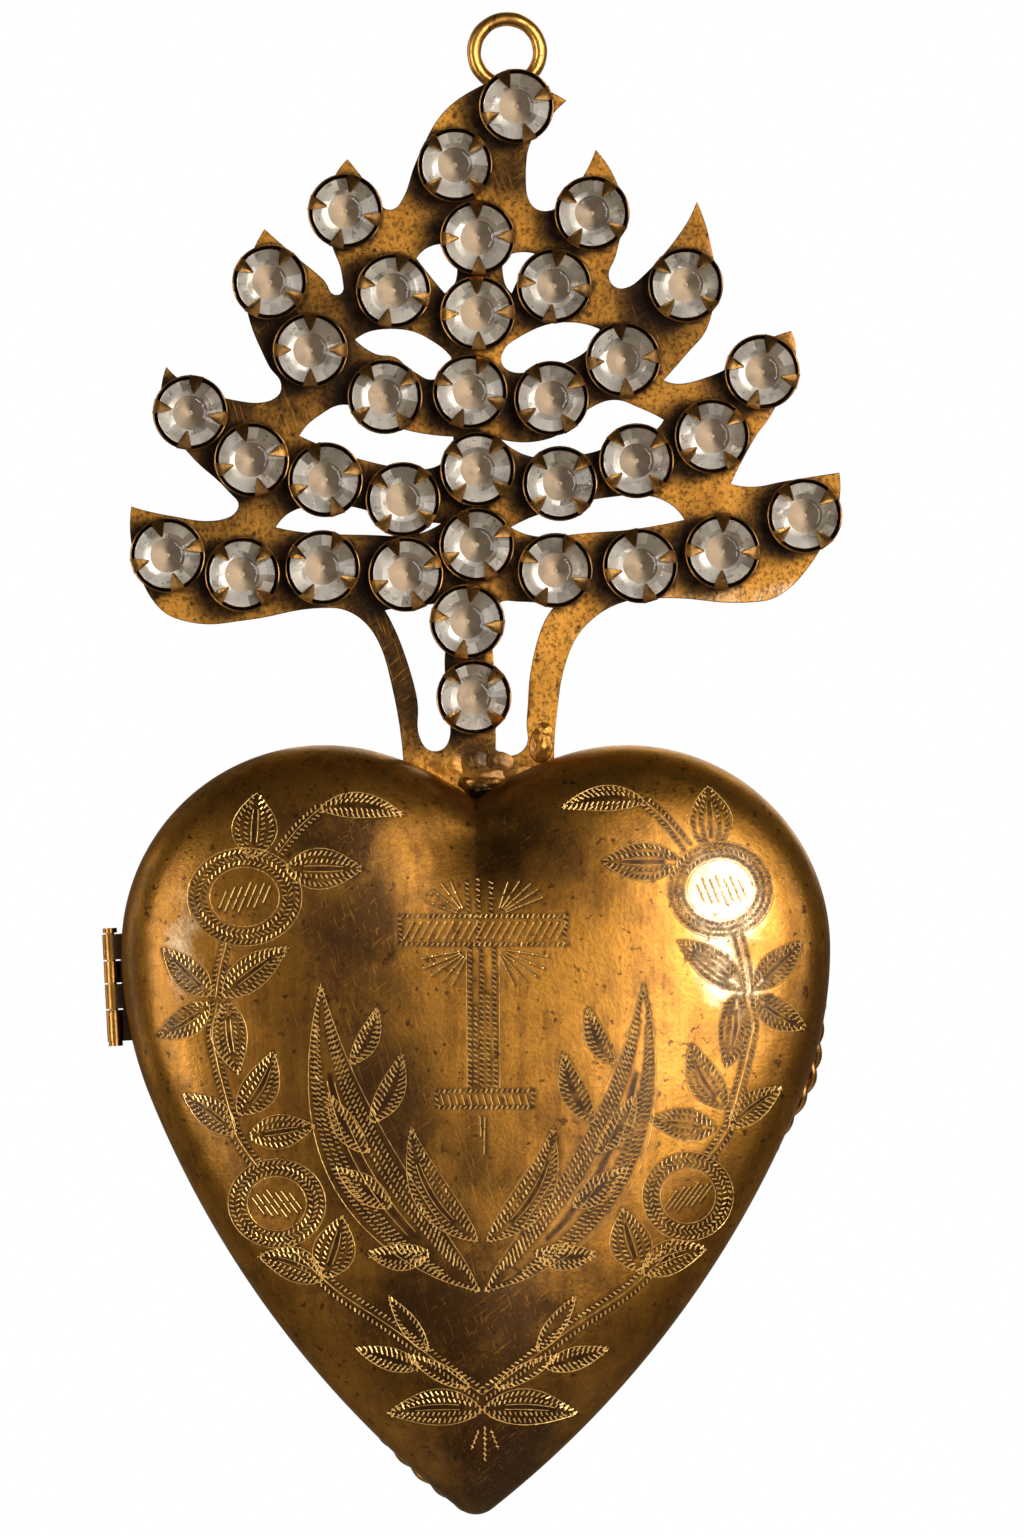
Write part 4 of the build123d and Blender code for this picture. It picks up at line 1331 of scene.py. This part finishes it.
for arm, turns in CLAW_TURNS.items():
    cups = []
    for number, turn in enumerate(turns, start=1):
        node = f"stone_{arm}_{number}"
        cup_points, cup_faces = build_cup(radians(turn))
        cups.append((on_crest(cup_points, *stone_places[node]), cup_faces))
        points, faces, backing, side = build_stone(radians(turn))
        stone = make_piece(f"cut_{node}", on_crest(points, *stone_places[node]), faces, stone_glass)
        stone.data.materials.append(pale_foil)
        stone.data.materials.append(tan_foil)
        # Each face's painted light and shade for its foil
        mark(stone, "side", side, "FACE")
        stone.data.polygons.foreach_set("material_index", backing)
        settle(stone, "back_half", "stone_glass", node)
    cup_piece = make_piece(f"cups_{arm}", *join_parts(cups), setting_brass, 38)
    settle(cup_piece, "back_half", "setting_brass", f"settings_{arm}")

# Hanging ring: bent wire, a little uneven

RING_R = 3.5
RING_WIRE_R = 0.75
RING_STEPS = 96
RING_SIDES = 20
# Unevenness of the wire: size, number of waves round the ring and where they start
RING_WAVES = ((0.02, 5, 1.0), (0.015, 11, 0.0))


def build_ring():
    """Closed tube whose radius swells a little."""
    ways = np.linspace(0, 2 * pi, RING_STEPS, endpoint=False)
    path = circle_row(RING_R, 0.0, ways)
    swell = 1 + sum(size * np.sin(count * ways + start) for size, count, start in RING_WAVES)
    return make_piece("bent_ring", *tube(path, RING_WIRE_R * swell, RING_SIDES, closed=True), ring_brass, 60)


settle(build_ring(), "back_half", "ring_brass", "hanging_ring")

# Border: two wires twisted together, open at the crest's foot and at the hinge

ROPE_INSET = 0.8
ROPE_Y = -0.85
ROPE_STEP = 0.35
STRAND_R = 0.44
STRAND_SIDES = 10
STRAND_SWING = STRAND_R * 0.86
TWIST = 5.4
FOOT_GAP = 8.75
HINGE_GAP = 6.1
LEAST_RUN = 4
# Where the border bows out past the lid: side, height, half length and how far
BOWS = ((1, -108.5, 4.8, 0.95), (-1, -150.0, 3.6, 0.4))


def rope_runs():
    """Runs of the border's middle line and the way out of the heart along each."""
    ring = heart_ring(ROPE_INSET, ROPE_STEP)
    outward = left_of(ring)
    x, z = ring.T
    for side, height, half, reach in BOWS:
        bow = reach * np.exp(-(((z - height) / half) ** 2)) * (side * (x - HEART_X) > 0)
        ring = ring + outward * bow[:, None]
    at_foot = (np.abs(x - HEART_X) < FOOT_GAP) & (z > LOBES_Z)
    at_hinge = (np.abs(z - HINGE_Z) < HINGE_GAP) & (x < HEART_X)
    is_open = at_foot | at_hinge
    first = np.flatnonzero(is_open & ~np.roll(is_open, -1))[0] + 1
    runs = [[]]
    for index in np.roll(np.arange(len(ring)), -first):
        if not is_open[index]:
            runs[-1].append(index)
        elif runs[-1]:
            runs.append([])
    return [(ring[run], outward[run]) for run in runs if len(run) > LEAST_RUN]


def build_rope():
    """Two strands that wind round the middle line of each run."""
    strands = []
    for ring, outward in rope_runs():
        phase = length_along(ring) * 2 * pi / TWIST
        for start in (0.0, pi):
            swing = outward * (STRAND_SWING * np.cos(phase + start))[:, None]
            path = stand(ring + swing, ROPE_Y + STRAND_SWING * np.sin(phase + start))
            strands.append(tube(path, STRAND_R, STRAND_SIDES))
    return make_piece("twisted_border", *join_parts(strands), rope_brass, 60)


settle(build_rope(), "back_half", "border_brass", "rope_border")

# Solder on the crest's foot: drops that run into each other

# Each drop: its middle, half width and half height in photo pixels, and its thickness
DROPS = (
    ((450, 764), 20, 12, 0.16),
    ((474, 762), 18, 13, 0.22),
    ((497, 762), 17, 12, 0.22),
    ((517, 774), 18, 9, 0.18),
    ((484, 776), 24, 12, 0.30),
    ((541, 745), 12, 18, 0.50),
    ((545, 731), 8, 9, 0.30),
    ((480, 789), 18, 10, 0.50),
    ((468, 783), 10, 8, 0.45),
    ((491, 783), 12, 9, 0.50),
)
DROP_SIDES = 36
DROP_RINGS = 9
DROP_ROOT = 0.15
DROP_SUNK = 0.03
# Waves of a drop's outline, as pace and size, and of its top
DROP_WAVES = ((1.3, 0.16), (3.1, 0.07))
DROP_ROUGH = (2.6, 0.35)
# How far apart the drops read their noise, for the outline and for the top
DROP_APART = (2.7, 5.1)
DROP_CURVE = 1.4
DROP_TOP = 0.06


def drop_point(way, share, number, wide, tall, thick):
    """Place and height of a drop's skin, with a wavy outline and a rough top."""
    across, up = cos(way), sin(way)
    spot = Vector((across, up, number * DROP_APART[0]))
    reach = share * PIXEL * (1 + sum(size * noise.noise(spot * pace) for pace, size in DROP_WAVES))
    pace, size = DROP_ROUGH
    rough = noise.noise((across * share * pace, up * share * pace, number * DROP_APART[1]))
    height = thick * (1 - share**2) ** DROP_CURVE * (1 + size * rough) - DROP_SUNK
    return reach * wide * across, reach * tall * up, height


def build_drops():
    """Each drop is a stack of rings from its root to its top."""
    ways = np.arange(DROP_SIDES) * 2 * pi / DROP_SIDES
    parts = []
    for number, (middle, wide, tall, thick) in enumerate(DROPS):
        (x, z), = to_mm([middle])
        skin = []
        for share in np.linspace(1.0, DROP_TOP, DROP_RINGS):
            for way in ways:
                across, up, height = drop_point(way, share, number, wide, tall, thick)
                skin.append((x + across, crest_front - height, z + up))
        base = [(px, crest_front + DROP_ROOT, pz) for px, _, pz in skin[:DROP_SIDES]]
        parts.append((base + skin, capped_faces(DROP_RINGS + 1, DROP_SIDES)))
    points, faces = join_parts(parts)
    piece = make_piece("solder_lumps", points, faces, solder, 80)
    mark(piece, "tarnish_and_shade", foot_dark_patch(np.array(points)))
    # Stains and painted light and shade of the crest over the solder
    mark(piece, "stain_light_map", stain_light_map(np.array(points), CREST_STAIN_LIGHT))
    return piece


settle(build_drops(), "back_half", "solder", "foot_solder")

# Solids that keep their shape

for node, material in (
    ("lid_liner", liner_brass),
    ("lid_hinge_leaf", hinge_brass),
    ("back_hinge_leaf", hinge_brass),
    ("hinge_pin", hinge_brass),
):
    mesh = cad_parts[node].data
    mesh.materials.clear()
    mesh.materials.append(material)

# Floor, light and camera, in metres

FLOOR_Z = cad_box[0][2] - 0.3
FLOOR_R = 0.36
FLOOR_SIDES = 64
HEART_AIM = Vector((-0.003, 0.0, -0.10))
CAMERA_AWAY = 2.0
SENSOR = 36.0
# Each softbox: its name, place, width, height and power
SOFTBOXES = (
    ("right_box", (0.58, -1.07, 0.10), 0.78, 0.9, 17.0),
    ("left_box", (-0.98, -0.76, -0.10), 0.3, 0.9, 5.6),
    ("left_edge_box", (-1.1, 0.35, 0.0), 0.5, 0.9, 2.2),
    ("right_edge_box", (1.15, -0.56, 0.05), 0.3, 0.7, 2.6),
    ("back_box", (0.3, 1.2, 0.5), 0.9, 0.9, 5.0),
)
# Light of the room from the front to the back, as shares of the way there
ROOM_TONES = ((0.0, 0.3), (0.15, 0.05), (0.45, 0.06), (0.72, 0.28))


def lay_floor():
    """Pale disc well below the object, as part of the stage."""
    mesh = bpy.data.meshes.new("floor")
    ways = np.arange(FLOOR_SIDES) * 2 * pi / FLOOR_SIDES
    points = [(FLOOR_R * cos(way), FLOOR_R * sin(way), FLOOR_Z) for way in ways]
    mesh.from_pydata(points, [], [tuple(range(FLOOR_SIDES))])
    shade = Shader("floor")
    colour = shade.mix(shade.cloud(9.0), (0.82, 0.81, 0.79, 1), (0.86, 0.85, 0.83, 1))
    shade.surface(Base_Color=colour, Roughness=0.8)
    mesh.materials.append(shade.material)
    floor = bpy.data.objects.new("floor", mesh)
    bpy.context.scene.collection.objects.link(floor)


def hang_light(name, place, wide, tall, power):
    """Rectangular softbox that faces the heart."""
    data = bpy.data.lights.new(name, "AREA")
    data.shape = "RECTANGLE"
    data.size = wide
    data.size_y = tall
    data.energy = power
    lamp = bpy.data.objects.new(name, data)
    lamp.location = place
    lamp.rotation_euler = (HEART_AIM - Vector(place)).to_track_quat("-Z", "Y").to_euler()
    bpy.context.scene.collection.objects.link(lamp)


def paint_world():
    """Room that the metal mirrors, dim at the sides, on white paper as the camera sees it."""
    world = bpy.data.worlds.new("studio")
    bpy.context.scene.world = world
    world.use_nodes = True
    nodes, links = world.node_tree.nodes, world.node_tree.links
    nodes.clear()
    kinds = ("OutputWorld", "LightPath", "MixShader", "Background", "Background")
    output, ray, mixer, room, paper = (nodes.new("ShaderNode" + kind) for kind in kinds)
    kinds = ("TexCoord", "SeparateXYZ", "MapRange", "ValToRGB")
    way, split, share, tones = (nodes.new("ShaderNode" + kind) for kind in kinds)
    paper.inputs["Color"].default_value = (1, 1, 1, 1)
    share.inputs["From Min"].default_value = -1.0
    stops = tones.color_ramp.elements
    for place, level in ROOM_TONES:
        stop = stops[0] if place == 0.0 else stops.new(place)
        stop.color = (level, level * 0.96, level * 0.9, 1)
    stops.remove(stops[-1])
    for source, target in (
        (way.outputs["Generated"], split.inputs[0]),
        (split.outputs["Y"], share.inputs["Value"]),
        (share.outputs["Result"], tones.inputs["Fac"]),
        (tones.outputs["Color"], room.inputs["Color"]),
        (ray.outputs["Is Camera Ray"], mixer.inputs["Fac"]),
        (room.outputs[0], mixer.inputs[1]),
        (paper.outputs[0], mixer.inputs[2]),
        (mixer.outputs[0], output.inputs["Surface"]),
    ):
        links.new(source, target)


def place_camera():
    """Straight front view that frames the object as the photo does."""
    data = bpy.data.cameras.new("camera")
    data.sensor_width = SENSOR
    data.lens = SENSOR * CAMERA_AWAY / (PHOTO_HEIGHT * PIXEL * MM)
    camera = bpy.data.objects.new("camera", data)
    across, up = to_mm([PHOTO_MIDDLE])[0] * MM
    camera.location = (across, -CAMERA_AWAY, up)
    camera.rotation_euler = (pi / 2, 0, 0)
    bpy.context.scene.collection.objects.link(camera)
    bpy.context.scene.camera = camera
    bpy.context.scene.view_settings.view_transform = "Standard"


lay_floor()
for softbox in SOFTBOXES:
    hang_light(*softbox)
paint_world()
place_camera()
